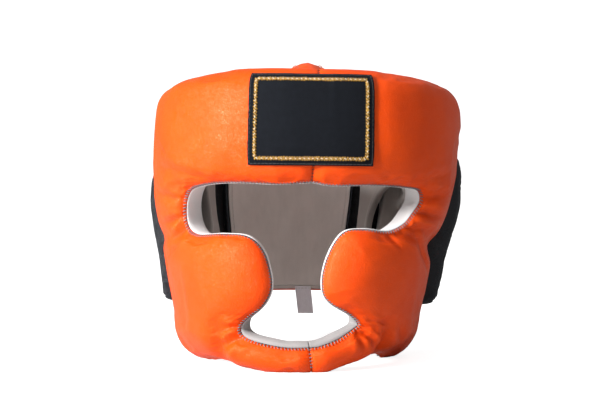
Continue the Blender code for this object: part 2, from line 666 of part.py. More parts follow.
def crown_strap():
    """A padded strap over the crown, sewn inside the brow band and inside the back pad."""
    brow_top, back_top = GUARD_HEIGHT - LINING_INSET, back_edges()[3] - LINING_INSET
    brow_x = form_point(0.0, brow_top)[0]
    back_x = form_point(math.pi, back_top)[0] + CROWN_STRAP_SHIFT
    start = [strap_seat(brow_x, brow_top - CROWN_SEWN_LENGTH, True), strap_seat(brow_x, brow_top, True)]
    end = [strap_seat(back_x, back_top, False), strap_seat(back_x, back_top - CROWN_SEWN_LENGTH, False)]
    rows = list(start)
    for share, rise in CROWN_ARCH:
        point = start[1] + share * (end[0] - start[1])
        point[2] += rise * (GUARD_HEIGHT + CROWN_RISE - point[2])
        rows.append(point)
    rows = np.array(rows + end)
    where = np.linspace(0, len(rows) - 1, 25)
    line = np.stack([curve_through(rows[:, k], where) for k in range(3)], -1)
    line[:, 1] = np.clip(line[:, 1], start[1][1], end[0][1])
    along = np.gradient(line, axis=0)
    along /= np.linalg.norm(along, axis=-1, keepdims=True)
    inwards = np.cross(np.array([1.0, 0, 0]), along)
    inwards *= np.sign(inwards[len(line) // 2, 2]) * -1
    inwards /= np.linalg.norm(inwards, axis=-1, keepdims=True)
    half, deep = CROWN_STRAP_WIDTH / 2, CROWN_STRAP_THICKNESS
    profile = ((-1, 0.3), (-0.93, 0), (0.93, 0), (1, 0.3), (1, 0.7), (0.93, 1), (-0.93, 1), (-1, 0.7))
    across = np.array([1.0, 0, 0])
    sections = [
        [point + a * half * across + b * deep * down for a, b in profile]
        for point, down in zip(line, inwards)
    ]
    loft("crown_strap", sections, "orange_leather")


def badge_edges():
    """The badge's foot and its top."""
    top = GUARD_HEIGHT - BADGE_BELOW_TOP
    return top - BADGE_HEIGHT, top


def badge_place(aside, height, above, lines):
    """A point above the badge's seat on the brow, where the leather has no seam dip."""
    turned = aside + BADGE_OFF_CENTRE - (height - badge_edges()[0]) * math.tan(BADGE_TILT)
    angle = angle_across(turned, height, PAD_THICKNESS)
    flat = np.stack([FLAT_RADIUS * angle, height], -1)
    seat = pad_offset(flat, 1.0, lines[0], lines[1], lines[2] + 1.0)
    return place(angle, height, seat + BADGE_GAP + above)


def badge():
    """A bare woven badge over the brow's middle seam, with a gold border sewn round it."""
    lines = front_lines()
    half = BADGE_WIDTH / 2
    foot, top = badge_edges()
    aside, height = np.meshgrid(np.linspace(-half, half, 12), spread(foot, top, 13), indexing="ij")
    level = np.zeros(aside.shape)
    low = badge_place(aside, height, level, lines)
    slab("badge", low, badge_place(aside, height, level + BADGE_THICKNESS, lines), "badge_cloth")
    sections = []
    corners = [(-1, 0), (1, 0), (1, 1), (-1, 1)]
    for (x, up), (next_x, next_up) in zip(corners, corners[1:] + corners[:1]):
        for share in np.linspace(0, 1, 13 if up == next_up else 13)[:-1]:
            across, rise = x + share * (next_x - x), up + share * (next_up - up)
            ring = []
            for inset, above in ((0, 0), (1, 0), (1, 1), (0, 1)):
                margin = BORDER_INSET + inset * BORDER_WIDTH
                level = BADGE_THICKNESS + BADGE_GAP + above * BORDER_THICKNESS
                height = foot + margin + rise * (BADGE_HEIGHT - 2 * margin)
                spot = [np.array(value) for value in (across * (half - margin), height, level)]
                ring.append(badge_place(*spot, lines))
            sections.append(ring)
    loft("badge_border", sections, "gold_thread", closed=True)


def size_label():
    """A blank woven label, sewn inside the back lining's foot and hanging a little aslant."""
    top = BACK_FOOT + LABEL_SEWN_LENGTH
    height, aside = np.meshgrid(
        np.linspace(top - LABEL_LENGTH, top, 5), np.linspace(-0.5, 0.5, 4) * LABEL_WIDTH, indexing="ij"
    )
    aside = aside - LABEL_OFF_CENTRE + (height - top) * math.tan(LABEL_SLANT)
    angle = math.pi + aside / form_reaches(height)[2]
    level = np.full(angle.shape, -PIECE_GAP)
    inner = place(angle, height, level - LABEL_THICKNESS)
    slab("size_label", inner, place(angle, height, level), "label_cloth")


def centre_on_origin():
    """Moves the whole guard so that the middle of its footprint stands on the origin."""
    pieces = list(bpy.data.objects)
    points = np.array([corner for piece in pieces for corner in piece.bound_box])
    middle = (points.min(0) + points.max(0)) / 2
    for piece in pieces:
        piece.data.transform(Matrix.Translation((-middle[0], -middle[1], 0)))


def clear_scene():
    for old in list(bpy.data.objects):
        bpy.data.objects.remove(old)


def build():
    clear_scene()
    front_pads()
    edges = front_layout()[2]
    for side, *hole, depth, lean in EARS:
        columns = ear_columns(edges[side])
        ear_frame(side, columns, *hole, lean)
        ear_panel(side, columns, depth, lean)
    back_pad()
    closure_strap("right", 0)
    closure_strap("left", 1)
    crown_strap()
    badge()
    size_label()
    centre_on_origin()


build()
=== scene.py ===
"""Looks for the padded training head guard, built around its packed solids.

Metres, +Z up, the guard facing -Y. Leather, linings and straps are laid on the same head form as
the solids: a place is an angle round the head, a height, and an offset out from the form.
"""

import math

import bmesh
import bpy
import numpy as np
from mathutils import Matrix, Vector


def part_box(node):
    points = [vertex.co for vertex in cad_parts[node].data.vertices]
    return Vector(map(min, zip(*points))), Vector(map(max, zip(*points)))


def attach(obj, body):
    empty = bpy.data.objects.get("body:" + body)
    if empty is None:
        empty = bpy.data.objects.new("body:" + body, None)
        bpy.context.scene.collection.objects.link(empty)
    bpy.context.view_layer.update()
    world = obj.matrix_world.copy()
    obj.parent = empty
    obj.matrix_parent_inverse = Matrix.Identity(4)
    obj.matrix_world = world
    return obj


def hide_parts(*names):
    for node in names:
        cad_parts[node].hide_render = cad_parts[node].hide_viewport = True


bl_info = {
    "name": "Padded head guard",
    "version": (1, 0, 0),
    "blender": (4, 5, 0),
    "location": "3D View > Sidebar > Head guard",
    "description": "Builds the leather, linings, stitching and straps of a training head guard",
    "category": "Object",
}

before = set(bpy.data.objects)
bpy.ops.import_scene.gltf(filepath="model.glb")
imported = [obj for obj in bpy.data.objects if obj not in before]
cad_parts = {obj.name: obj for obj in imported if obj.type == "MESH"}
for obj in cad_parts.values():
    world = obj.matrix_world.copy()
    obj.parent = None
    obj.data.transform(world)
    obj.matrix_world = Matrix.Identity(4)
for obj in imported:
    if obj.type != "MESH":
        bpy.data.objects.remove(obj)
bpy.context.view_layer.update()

# The head form and the front pads' layout, as in the solids
GUARD_HEIGHT = 0.218
HOLLOW_HALF_WIDTH = 0.0915
HOLLOW_FRONT = 0.098
HOLLOW_BACK = 0.100
SQUARENESS = 2.25
LEAN_ACROSS = 0.0125
BACK_TWIST = math.radians(8.5)
TWIST_START = math.radians(90)
TWIST_LENGTH = math.radians(60)
FLAT_RADIUS = 0.100
PAD_THICKNESS = 0.028
LINING_THICKNESS = 0.002
PIECE_GAP = 0.0003
SEAM_HEIGHT = 0.015
RIM_WIDTH = 0.0018
CHIN_RIM_WIDTH = 0.0044
CHIN_RIM_TOP = 0.040
RIM_UNDERCUT = 0.0042
RIM_GAP = 0.0006
OPENING_HALF_WIDTH = 0.088
INNER_ROUNDING = 0.027
OUTER_ROUNDING = 0.022
JAW_ROUNDING = 0.034
JAW_HEIGHT = 0.070
JAW_ANGLE = math.radians(45)
LINING_INSET = 0.006
CENTRE_SEAM_DIP = 0.0022
CENTRE_SEAM_WIDTH = 0.005
REAR_EDGE_ANGLE = math.radians(90)
BAND_END_ANGLE = math.radians(112)
TABLE_ANGLES = (0, 84, 112, 180)
EAR_FRAME_THICKNESS = 0.010
EAR_PANEL_THICKNESS = 0.007
EAR_CUP_DEPTH = 0.016
EAR_CUP_ROUNDING = 0.011
EAR_FLARE = 0.008
EAR_REAR_ANGLE = math.radians(141.5)
EAR_CLEARANCE = 0.0016
EAR_LEAN_START = math.radians(112)
EAR_LEAN_LENGTH = math.radians(26)
PANEL_FOOT = 0.041
REAR_HEIGHT = 0.155
BACK_GAP_RIGHT = math.radians(9)
BACK_GAP_LEFT = math.radians(4.5)
BACK_FOOT = 0.0428
BACK_LINING_INSET = 0.0012
BACK_PAD_THICKNESS = 0.014
BACK_EDGE_THICKNESS = 0.002
BACK_ROUNDING = 0.013
STRAP_HEIGHT = 0.072
STRAP_MIDDLE = 0.115
STRAP_THICKNESS = 0.0028
STRAP_OVERLAP = 0.024
STRAP_CLEARANCE = 0.0005
CROWN_STRAP_WIDTH = 0.025
CROWN_STRAP_SHIFT = 0.008
CROWN_STRAP_THICKNESS = 0.005
CROWN_RISE = 0.0083
CROWN_SEWN_LENGTH = 0.018
BADGE_WIDTH = 0.0915
BADGE_HEIGHT = 0.0620
BADGE_BELOW_TOP = 0.0064
BADGE_OFF_CENTRE = 0.0006
BADGE_TILT = math.radians(2)
BORDER_INSET = 0.0032
BORDER_WIDTH = 0.0032
BADGE_GAP = 0.0005
LABEL_WIDTH = 0.0134
LABEL_LENGTH = 0.0225
LABEL_SEWN_LENGTH = 0.003
LABEL_THICKNESS = 0.0007
LABEL_OFF_CENTRE = 0.0190
LABEL_SLANT = math.radians(9)

# The loose suede in the left ear pocket: its size as a share of the frame's hole, and the extra
# width that its folds take up
POCKET_SUEDE_SHARE = 1.12
POCKET_SUEDE_THICKNESS = 0.0010

# Columns: height, half width, front reach and back reach, each a share of the hollow's own size
FORM_SECTIONS = (
    (0.00, 0.710, 0.955, 0.80),
    (0.20, 0.755, 0.975, 0.84),
    (0.38, 0.855, 0.990, 0.90),
    (0.56, 0.980, 1.000, 0.97),
    (0.80, 1.000, 0.990, 1.00),
    (1.00, 0.940, 0.920, 0.96),
)
# Columns: seam across and seam up as shares, outer edge's angle in degrees and height share, fullness
STATIONS = {
    "right": (
        (0.03, 0.634, 2.0, 1.008, 1.00),
        (-0.25, 0.628, -24.0, 1.010, 1.00),
        (-0.60, 0.632, -56.0, 0.985, 1.00),
        (-0.83, 0.624, -86.0, 0.945, 1.00),
        (-0.965, 0.602, -110.0, 0.905, 0.97),
        (-1.00, 0.542, -111.0, 0.775, 0.96),
        (-0.965, 0.486, -89.0, 0.620, 0.94),
        (-0.87, 0.462, -84.0, 0.458, 0.97),
        (-0.66, 0.463, -84.0, 0.379, 1.00),
        (-0.466, 0.454, -84.0, 0.310, 1.03),
        (-0.338, 0.409, -83.5, 0.246, 1.04),
        (-0.262, 0.329, -83.0, 0.172, 1.04),
        (-0.252, 0.273, -82.0, 0.070, 1.02),
        (-0.310, 0.221, -77.0, -0.010, 0.98),
        (-0.441, 0.165, -50.0, 0.008, 0.92),
        (-0.452, 0.130, -34.0, 0.020, 0.86),
        (-0.365, 0.105, -22.0, 0.006, 0.86),
        (-0.12, 0.085, -8.0, -0.013, 0.90),
        (0.085, 0.085, 5.3, -0.015, 0.92),
    ),
    "left": (
        (0.03, 0.634, 2.0, 1.008, 1.00),
        (0.22, 0.624, 24.0, 1.002, 1.00),
        (0.55, 0.626, 56.0, 0.980, 1.00),
        (0.80, 0.620, 86.0, 0.940, 1.00),
        (0.932, 0.609, 110.0, 0.905, 0.99),
        (0.957, 0.571, 111.0, 0.800, 0.98),
        (0.905, 0.540, 89.0, 0.705, 0.98),
        (0.82, 0.502, 84.0, 0.495, 0.86),
        (0.68, 0.476, 84.0, 0.379, 0.88),
        (0.48, 0.480, 84.0, 0.319, 0.96),
        (0.328, 0.471, 84.0, 0.265, 1.00),
        (0.233, 0.423, 83.5, 0.211, 1.02),
        (0.170, 0.344, 82.0, 0.142, 1.02),
        (0.170, 0.275, 82.0, 0.070, 1.00),
        (0.235, 0.236, 76.0, -0.010, 0.98),
        (0.385, 0.197, 53.0, 0.020, 0.92),
        (0.456, 0.164, 41.0, 0.034, 0.86),
        (0.420, 0.146, 30.0, 0.032, 0.84),
        (0.30, 0.111, 20.0, 0.015, 0.86),
        (0.165, 0.089, 11.0, -0.008, 0.90),
        (0.085, 0.085, 5.3, -0.015, 0.92),
    ),
}
# Columns: angle in degrees, height share, reach round and up, slant in degrees, depth share
DENTS = (
    (-70.0, 0.475, 0.13, 0.030, 12.0, 0.08),
    (-58.0, 0.425, 0.07, 0.020, 32.0, 0.09),
    (70.0, 0.440, 0.17, 0.036, -10.0, 0.17),
    (52.0, 0.410, 0.09, 0.020, -38.0, 0.13),
    (-30.0, 0.070, 0.030, 0.090, -14.0, 0.18),
    (34.0, 0.075, 0.026, 0.100, 16.0, 0.24),
    (42.0, 0.125, 0.060, 0.020, -40.0, 0.13),
)
EAR_PANEL_OUTLINE = (
    (0.00, 0.140, 1.000),
    (0.10, 0.025, 1.000),
    (0.25, 0.000, 1.000),
    (0.85, 0.000, 1.000),
    (1.00, 0.035, 0.965),
)
# Side: hole's middle in degrees and as a height share, half width in degrees, half height share,
# the cup's depth as a share, and the lean of the frame's rear end in degrees
EARS = {
    "right": (120.0, 0.46, 14.5, 0.25, 0.84, 0.0),
    "left": (124.0, 0.38, 12.0, 0.21, 1.16, 0.7),
}
RIM_PROFILE = ((0.0, 1.0), (0.35, 1.0), (0.72, 0.93), (1.0, 0.72), (0.98, 0.42), (0.78, 0.16), (0.5, 0.05))
FRAME_PROFILE = (
    (0.000, 0.50), (0.010, 0.24), (0.040, 0.08), (0.120, 0.00), (0.300, 0.00), (0.550, 0.00),
    (0.800, 0.00), (0.955, 0.04), (0.995, 0.26), (1.000, 0.50), (0.995, 0.74), (0.955, 0.96),
    (0.800, 1.00), (0.550, 1.00), (0.300, 1.00), (0.120, 1.00), (0.040, 0.92), (0.010, 0.76),
)
CROWN_ARCH = ((0.12, 0.66), (0.28, 0.98), (0.52, 0.98), (0.78, 0.74))

# Creases that run out from the corners of the opening: places in degrees and height shares along
# each, then the crease's half width and depth in metres
CREASES = (
    (((-47.0, 0.500), (-55.0, 0.470), (-66.0, 0.440)), 0.0019, 0.0016),
    (((-46.0, 0.485), (-51.0, 0.462), (-57.0, 0.436)), 0.0014, 0.0010),
    (((-50.0, 0.530), (-60.0, 0.515), (-74.0, 0.505)), 0.0016, 0.0009),
    (((-52.0, 0.575), (-64.0, 0.590), (-80.0, 0.600)), 0.0022, 0.0009),
    (((-40.0, 0.650), (-56.0, 0.668), (-76.0, 0.672)), 0.0028, 0.0010),
    (((-20.0, 0.152), (-24.0, 0.150), (-29.0, 0.148)), 0.0015, 0.0013),
    (((-19.0, 0.122), (-24.0, 0.098), (-31.0, 0.058)), 0.0024, 0.0022),
    (((-17.0, 0.112), (-20.0, 0.086), (-23.0, 0.058)), 0.0013, 0.0008),
    (((20.0, 0.152), (22.0, 0.110), (25.0, 0.064)), 0.0019, 0.0021),
    (((22.0, 0.148), (26.0, 0.110), (31.0, 0.058)), 0.0020, 0.0024),
    (((20.5, 0.166), (24.0, 0.156), (30.0, 0.138)), 0.0015, 0.0013),
    (((24.0, 0.176), (29.0, 0.176), (36.0, 0.170)), 0.0018, 0.0009),
    (((35.0, 0.475), (43.0, 0.468), (54.0, 0.450)), 0.0019, 0.0016),
    (((38.0, 0.490), (47.0, 0.492), (60.0, 0.484)), 0.0016, 0.0013),
    (((42.0, 0.540), (52.0, 0.538), (67.0, 0.528)), 0.0018, 0.0015),
    (((44.0, 0.580), (54.0, 0.592), (68.0, 0.600)), 0.0020, 0.0012),
    (((40.0, 0.640), (52.0, 0.660), (66.0, 0.672)), 0.0024, 0.0009),
    (((31.0, 0.470), (33.0, 0.446), (36.0, 0.420)), 0.0013, 0.0008),
)

CREASE_STRENGTH = 1.5
CREASE_REACH = 0.015
SKIN_COLUMNS = 380
SKIN_ROWS = 96

# The simulation that fills the front leathers: its grid, how much spare leather there is, the
# pressure inside, its steps, and how far the leather may move
STUFFING_COLUMNS = 104
STUFFING_ROWS = 30
STUFFING_SLACK = 0.012
STUFFING_PRESSURE = 4.0
STUFFING_FRAMES = 20
STUFFING_LIMIT = 0.0008
LEATHER_WEIGHT = 0.35
LEATHER_STIFFNESS = 30
LEATHER_SHEAR = 12
LEATHER_BENDING = 0.15
LEATHER_DAMPING = 12

# Stitches: length and thread thickness
OPENING_STITCH = (0.0022, 0.00070)
LADDER_STITCH = (0.0017, 0.00055)
PIPING_STITCH = (0.0030, 0.0007)
LINING_STITCH = (0.0022, 0.0006)
CLOSURE_STITCH = (0.0030, 0.0007)
CROWN_STITCH = (0.0026, 0.0006)
BRAID_STRAND = (0.0033, 0.00115)
BRAID_GLINT = (0.0013, 0.00055)
HEM_STITCH = (0.0021, 0.0005)
LABEL_STITCH = (0.0017, 0.00045)

# How far apart stitches are along their seams, and where they run on the closure straps: the
# margin at its ends and the row across it are angles, turned to lengths by the radius
OPENING_PITCH = 0.0021
LADDER_PITCH = 0.0024
PIPING_PITCH = 0.0042
LINING_PITCH = 0.0032
CLOSURE_PITCH = 0.0042
CROWN_PITCH = 0.0036
CLOSURE_SIDE_MARGIN = 0.005
CLOSURE_END_MARGIN = 0.05
CLOSURE_CROSS_ROW = 0.13
CLOSURE_RADIUS = 0.115
BRAID_PITCH = 0.00190
GLINT_PITCH = 0.0033
HEM_PITCH = 0.0027

# The room, in watts and metres, and the camera that took the photograph
CAMERA_PLACE = (-0.032, -1.2246, 0.161)
CAMERA_DIP = math.atan(50 / 1551)
CAMERA_TURN = math.radians(-1.426)
CAMERA_LENS = 93.06
SENSOR_WIDTH = 36
PAPER_GLOW = 0.85
ROOM_LIGHT = 0.30
LAMPS = (
    ("soft_light_left", (-1.3, -0.95, 0.70), (0, 0, 0.11), (0.55, 0.55), 72, (1.0, 0.99, 0.98)),
    ("soft_light_top", (0.15, -0.5, 1.7), (0, 0, 0.1), (1.2, 0.9), 6, (1.0, 1.0, 1.0)),
)


# ---------------------------------------------------------------- head form

def curve_through(values, rows):
    """Values of a smooth curve through equally spaced rows, read at fractional row numbers."""
    values = np.asarray(values, float)
    rows = np.clip(np.asarray(rows, float), 0, len(values) - 1)
    first = np.minimum(rows.astype(int), len(values) - 2)
    part = (rows - first).reshape(rows.shape + (1,) * (values.ndim - 1))
    ends = np.concatenate([[2 * values[0] - values[1]], values, [2 * values[-1] - values[-2]]])
    before, start, end, after = (ends[first + k] for k in range(4))
    return 0.5 * (
        2 * start
        + (end - before) * part
        + (2 * before - 5 * start + 4 * end - after) * part**2
        + (3 * start - before - 3 * end + after) * part**3
    )


def from_table(table, column, key):
    keys = [row[0] for row in table]
    return curve_through([row[column] for row in table], np.interp(key, keys, range(len(keys))))


def eased(value):
    value = np.clip(value, 0, 1)
    return value * value * (3 - 2 * value)


def rounded_rise(distance, reach):
    share = np.clip(np.asarray(distance, float) / reach, 0, 1)
    return np.sqrt(np.maximum(0, 1 - (1 - share) ** 2))


def spread(start, end, count):
    """Places from start to end, closer together towards both."""
    return start + (0.5 - 0.5 * np.cos(math.pi * np.linspace(0, 1, count))) * (end - start)


def form_reaches(height):
    up = np.asarray(height, float) / GUARD_HEIGHT
    return (
        HOLLOW_HALF_WIDTH * from_table(FORM_SECTIONS, 1, up),
        HOLLOW_FRONT * from_table(FORM_SECTIONS, 2, up),
        HOLLOW_BACK * from_table(FORM_SECTIONS, 3, up),
    )


def form_point(angle, height):
    angle, height = np.broadcast_arrays(np.asarray(angle, float), np.asarray(height, float))
    turned = angle + BACK_TWIST * eased((np.abs(angle) - TWIST_START) / TWIST_LENGTH)
    half_width, front, back = form_reaches(height)
    depth = np.where(np.cos(turned) > 0, front, back)
    radius = (
        np.abs(np.sin(turned) / half_width) ** SQUARENESS
        + np.abs(np.cos(turned) / depth) ** SQUARENESS
    ) ** (-1 / SQUARENESS)
    lean = LEAN_ACROSS * (height / GUARD_HEIGHT - 0.5)
    return np.stack([radius * np.sin(turned) + lean, -radius * np.cos(turned), height], -1)


def place_uncentred(angle, height, offset):
    step = 1e-3
    round_head = form_point(angle + step, height) - form_point(angle - step, height)
    up_head = form_point(angle, height + step * FLAT_RADIUS)
    up_head = up_head - form_point(angle, height - step * FLAT_RADIUS)
    normal = np.cross(round_head, up_head)
    normal /= np.linalg.norm(normal, axis=-1, keepdims=True)
    return form_point(angle, height) + normal * np.asarray(offset, float)[..., None]


def back_edges():
    """The back pad's side angles, left one first, its foot and its top."""
    low, high = EAR_REAR_ANGLE + BACK_GAP_LEFT, 2 * math.pi - EAR_REAR_ANGLE - BACK_GAP_RIGHT
    return low, high, BACK_FOOT, PANEL_FOOT + REAR_HEIGHT


def centring():
    """How far the solids were moved to stand on the origin, read from the back lining's box."""
    low, high, foot, top = back_edges()
    inset = BACK_LINING_INSET
    aside = inset / FLAT_RADIUS
    angle, height = np.meshgrid(
        spread(low + aside, high - aside, 13), spread(foot + inset, top - inset, 9), indexing="ij"
    )
    level = np.zeros(angle.shape)
    points = [place_uncentred(angle, height, level), place_uncentred(angle, height, level + LINING_THICKNESS)]
    points = np.concatenate(points).reshape(-1, 3)
    box_low, box_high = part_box("back_lining")
    return (np.array(box_low) + np.array(box_high) - points.min(0) - points.max(0)) / 2 * (1, 1, 0)


CENTRING = centring()


def place(angle, height, offset):
    """Points at an offset out from the head form, square to it."""
    return place_uncentred(angle, height, offset) + CENTRING


def over_form(flat, offset):
    """Points at an offset over flat places, which are a distance round the form and a height."""
    return place(flat[..., 0] / FLAT_RADIUS, flat[..., 1], offset)


def angle_across(across, height, offset):
    half_width, front, _ = form_reaches(height)
    share = np.clip(np.abs(across) / (half_width + offset), 0, 0.999)
    depth = (front + offset) * (1 - share**SQUARENESS) ** (1 / SQUARENESS)
    return np.arctan2(across, depth)


# ---------------------------------------------------------------- layout of the front pads

def seam_rows(side):
    rows = STATIONS[side]
    across = np.array([row[0] for row in rows]) * OPENING_HALF_WIDTH
    up = np.array([row[1] for row in rows]) * GUARD_HEIGHT
    return FLAT_RADIUS * angle_across(across, up, SEAM_HEIGHT), up


def edge_rows(side):
    degrees = np.array([row[2] for row in STATIONS[side]])
    named = np.interp(np.abs(degrees), TABLE_ANGLES, (0, REAR_EDGE_ANGLE, BAND_END_ANGLE, math.pi))
    up = np.array([row[3] for row in STATIONS[side]]) * GUARD_HEIGHT
    return FLAT_RADIUS * np.sign(degrees) * named, up


def run_along(line):
    """How far along a line of points each point is."""
    return np.concatenate([[0], np.cumsum(np.linalg.norm(np.diff(line, axis=0), axis=1))])


def read_at(steps, length, line):
    """Points of a line at given lengths along it."""
    return np.stack([np.interp(steps, length, line[:, k]) for k in range(line.shape[1])], -1)


def middles(count):
    """The middles of that many equal steps, as shares."""
    return (np.arange(count) + 0.5) / count


def line_at(rows, where):
    return np.stack([curve_through(rows[0], where), curve_through(rows[1], where)], -1)


def even_places(side, count):
    """Fractional row numbers that step evenly along a half's seam and edge together."""
    dense = np.linspace(0, len(STATIONS[side]) - 1, 3000)
    steps = [np.linalg.norm(np.diff(line_at(rows(side), dense), axis=0), axis=1) for rows in (seam_rows, edge_rows)]
    length = np.concatenate([[0], np.cumsum(steps[0] * 0.6 + steps[1] * 0.4)])
    return np.interp(np.linspace(0, length[-1], count), length, dense)


def nearest(points, line):
    """Distance from each flat point to a line of flat points, and how far along it the nearest is."""
    shape, points = points.shape[:-1], points.reshape(-1, 2)
    start, along = line[:-1], np.diff(line, axis=0)
    long2 = np.maximum((along * along).sum(-1), 1e-12)
    run = np.concatenate([[0], np.cumsum(np.sqrt(long2))])
    distance, where = np.empty(len(points)), np.empty(len(points))
    for k in range(0, len(points), 4000):
        away = points[k:k + 4000, None, :] - start
        share = np.clip((away * along).sum(-1) / long2, 0, 1)
        gap = np.linalg.norm(away - share[..., None] * along, axis=-1)
        best = gap.argmin(-1)
        rows = np.arange(len(best))
        distance[k:k + 4000] = gap[rows, best]
        where[k:k + 4000] = run[best] + share[rows, best] * np.sqrt(long2[best])
    return distance.reshape(shape), where.reshape(shape)


def chin_share(height):
    """1 over the chin bar, where the rim is full, and 0 round the eyes and cheeks."""
    return eased((CHIN_RIM_TOP - height) / (CHIN_RIM_TOP / 2))


def undercut(height):
    """How far the rim's inner wall runs back under the pad."""
    return RIM_UNDERCUT * (1 - chin_share(height))


def into_opening(seam, side):
    """Directions from the seam into the opening, on the flattened form."""
    along = np.gradient(seam, axis=0)
    along /= np.linalg.norm(along, axis=-1, keepdims=True)
    turn = -1 if side == "right" else 1
    inwards = turn * np.stack([along[:, 1], -along[:, 0]], -1)
    inwards[0], inwards[-1] = (0, -1), (0, 1)
    return inwards


def sheet_points(seam, inwards, edge, steps):
    """Rows of the lining's flat sheet and of the pad's back; a step is 1 at the edge, 0 at the rim."""
    last = 1 - LINING_INSET / np.linalg.norm(edge - seam, axis=1)
    steps = steps[None, :, None]
    under = (1 - steps) * (undercut(seam[:, 1])[:, None] * inwards)[:, None]
    return seam[:, None] + steps * (last[:, None] * (edge - seam))[:, None] - under


def front_lines():
    """The whole opening's seam, the whole outer edge, and the two middle seams between the halves."""
    seams, edges = {}, {}
    for side in STATIONS:
        where = np.linspace(0, len(STATIONS[side]) - 1, 140)
        seams[side], edges[side] = line_at(seam_rows(side), where), line_at(edge_rows(side), where)
    middle = np.array([seams["left"][0], edges["left"][0], seams["left"][-1], edges["left"][-1]])
    return (
        np.concatenate([seams["right"][::-1], seams["left"]]),
        np.concatenate([edges["right"][::-1], edges["left"]]),
        middle,
    )


LINES = front_lines()


def dent_depth(flat):
    depth = np.zeros(flat.shape[:-1])
    for degrees, up, round_reach, up_reach, slant, share in DENTS:
        across = flat[..., 0] - FLAT_RADIUS * math.radians(degrees)
        above = flat[..., 1] - up * GUARD_HEIGHT
        turn = math.radians(slant)
        along = across * math.cos(turn) + above * math.sin(turn)
        over = above * math.cos(turn) - across * math.sin(turn)
        reach = (along / (round_reach * GUARD_HEIGHT)) ** 2 + (over / (up_reach * GUARD_HEIGHT)) ** 2
        depth += share * PAD_THICKNESS * np.exp(-reach)
    return depth


def pad_offset(flat, fullness, seam=True):
    """Offset of the front pads' leather: puffed, rounded at both edges, dipped at the middle seam."""
    seam_line, edge_line, middle = LINES
    base = LINING_THICKNESS + PIECE_GAP
    full = PAD_THICKNESS * fullness - dent_depth(flat)
    to_seam, _ = nearest(flat, seam_line)
    to_edge, _ = nearest(flat, edge_line)
    inner = SEAM_HEIGHT + (full - SEAM_HEIGHT) * rounded_rise(to_seam, INNER_ROUNDING)
    jaw = eased(1 - flat[..., 1] / JAW_HEIGHT) * eased(np.abs(flat[..., 0]) / FLAT_RADIUS / JAW_ANGLE - 0.5)
    outer = rounded_rise(to_edge, OUTER_ROUNDING + (JAW_ROUNDING - OUTER_ROUNDING) * jaw)
    if seam:
        to_middle = np.minimum(nearest(flat, middle[:2])[0], nearest(flat, middle[2:])[0])
        inner = inner - CENTRE_SEAM_DIP * np.exp(-((to_middle / CENTRE_SEAM_WIDTH) ** 2))
    return base + (inner - base) * outer


# ---------------------------------------------------------------- folds and gathers

def ripple(where, step, seed):
    """Smooth seeded random values from -1 to 1 along a line, about one for each step."""
    values = np.random.default_rng(seed).uniform(-1, 1, 400)
    return curve_through(values, np.mod(where / step, 397) + 1)


def patches(across, up, step, seed):
    """Smooth seeded random values from -1 to 1 over a surface, about one for each step both ways."""
    values = np.random.default_rng(seed).uniform(-1, 1, (80, 80))
    x, y = np.mod(across / step, 76), np.mod(up / step, 76)
    i, j = x.astype(int), y.astype(int)
    a, b = eased(x - i), eased(y - j)
    low = values[i, j] * (1 - a) + values[i + 1, j] * a
    high = values[i, j + 1] * (1 - a) + values[i + 1, j + 1] * a
    return low * (1 - b) + high * b


def crease_depth(flat):
    """Depth of the creases at the opening's corners, each with a soft lip on both sides."""
    depth = np.zeros(flat.shape[:-1])
    for places, width, deep in CREASES:
        rows = np.array([(FLAT_RADIUS * math.radians(d), up * GUARD_HEIGHT) for d, up in places])
        line = line_at(rows.T, np.linspace(0, len(rows) - 1, 24))
        box = np.all((flat > line.min(0) - CREASE_REACH) & (flat < line.max(0) + CREASE_REACH), axis=-1)
        if not box.any():
            continue
        away, along = nearest(flat[box], line)
        length = np.linalg.norm(np.diff(line, axis=0), axis=1).sum()
        fade = eased((1 - along / length) * 1.6) * (0.75 + 0.25 * eased(along / length * 6))
        away = away * (1 + 0.25 * ripple(along, 0.006, int(deep * 1e6)))
        spread_out = width * (1 + 0.9 * along / length)
        groove = np.exp(-((away / spread_out) ** 2))
        groove -= 0.42 * np.exp(-(((away - 2.1 * spread_out) / spread_out) ** 2))
        depth[box] += CREASE_STRENGTH * deep * fade * groove
    return depth


def leather_relief(flat):
    """Small rises and falls of the front leather: gathers at its seams, creases and soft unevenness."""
    seam_line, edge_line, middle = LINES
    to_seam, along_seam = nearest(flat, seam_line)
    to_edge, along_edge = nearest(flat, edge_line)
    to_middle = np.minimum(nearest(flat, middle[:2])[0], nearest(flat, middle[2:])[0])
    up = flat[..., 1]
    relief = 0.00042 * patches(flat[..., 0] + 5, up, 0.024, 3) + 0.00022 * patches(flat[..., 0] + 5, up, 0.010, 5)
    relief += 0.00016 * ripple(along_seam, 0.0030, 7) * np.exp(-to_seam / 0.006)
    relief += 0.00042 * ripple(along_seam, 0.0075, 11) * np.exp(-((to_seam / 0.013) ** 2))
    relief += 0.00026 * ripple(along_edge, 0.0042, 13) * np.exp(-to_edge / 0.010)
    relief += 0.00050 * ripple(along_edge, 0.0110, 17) * np.exp(-((to_edge / 0.020) ** 2))
    relief += 0.00030 * ripple(up, 0.0050, 19) * np.exp(-((to_middle / 0.009) ** 2))
    relief -= 0.00100 * np.exp(-((to_middle / 0.0012) ** 2))
    relief -= crease_depth(flat)
    return relief * rounded_rise(to_seam, 0.004) * rounded_rise(to_edge, 0.006)


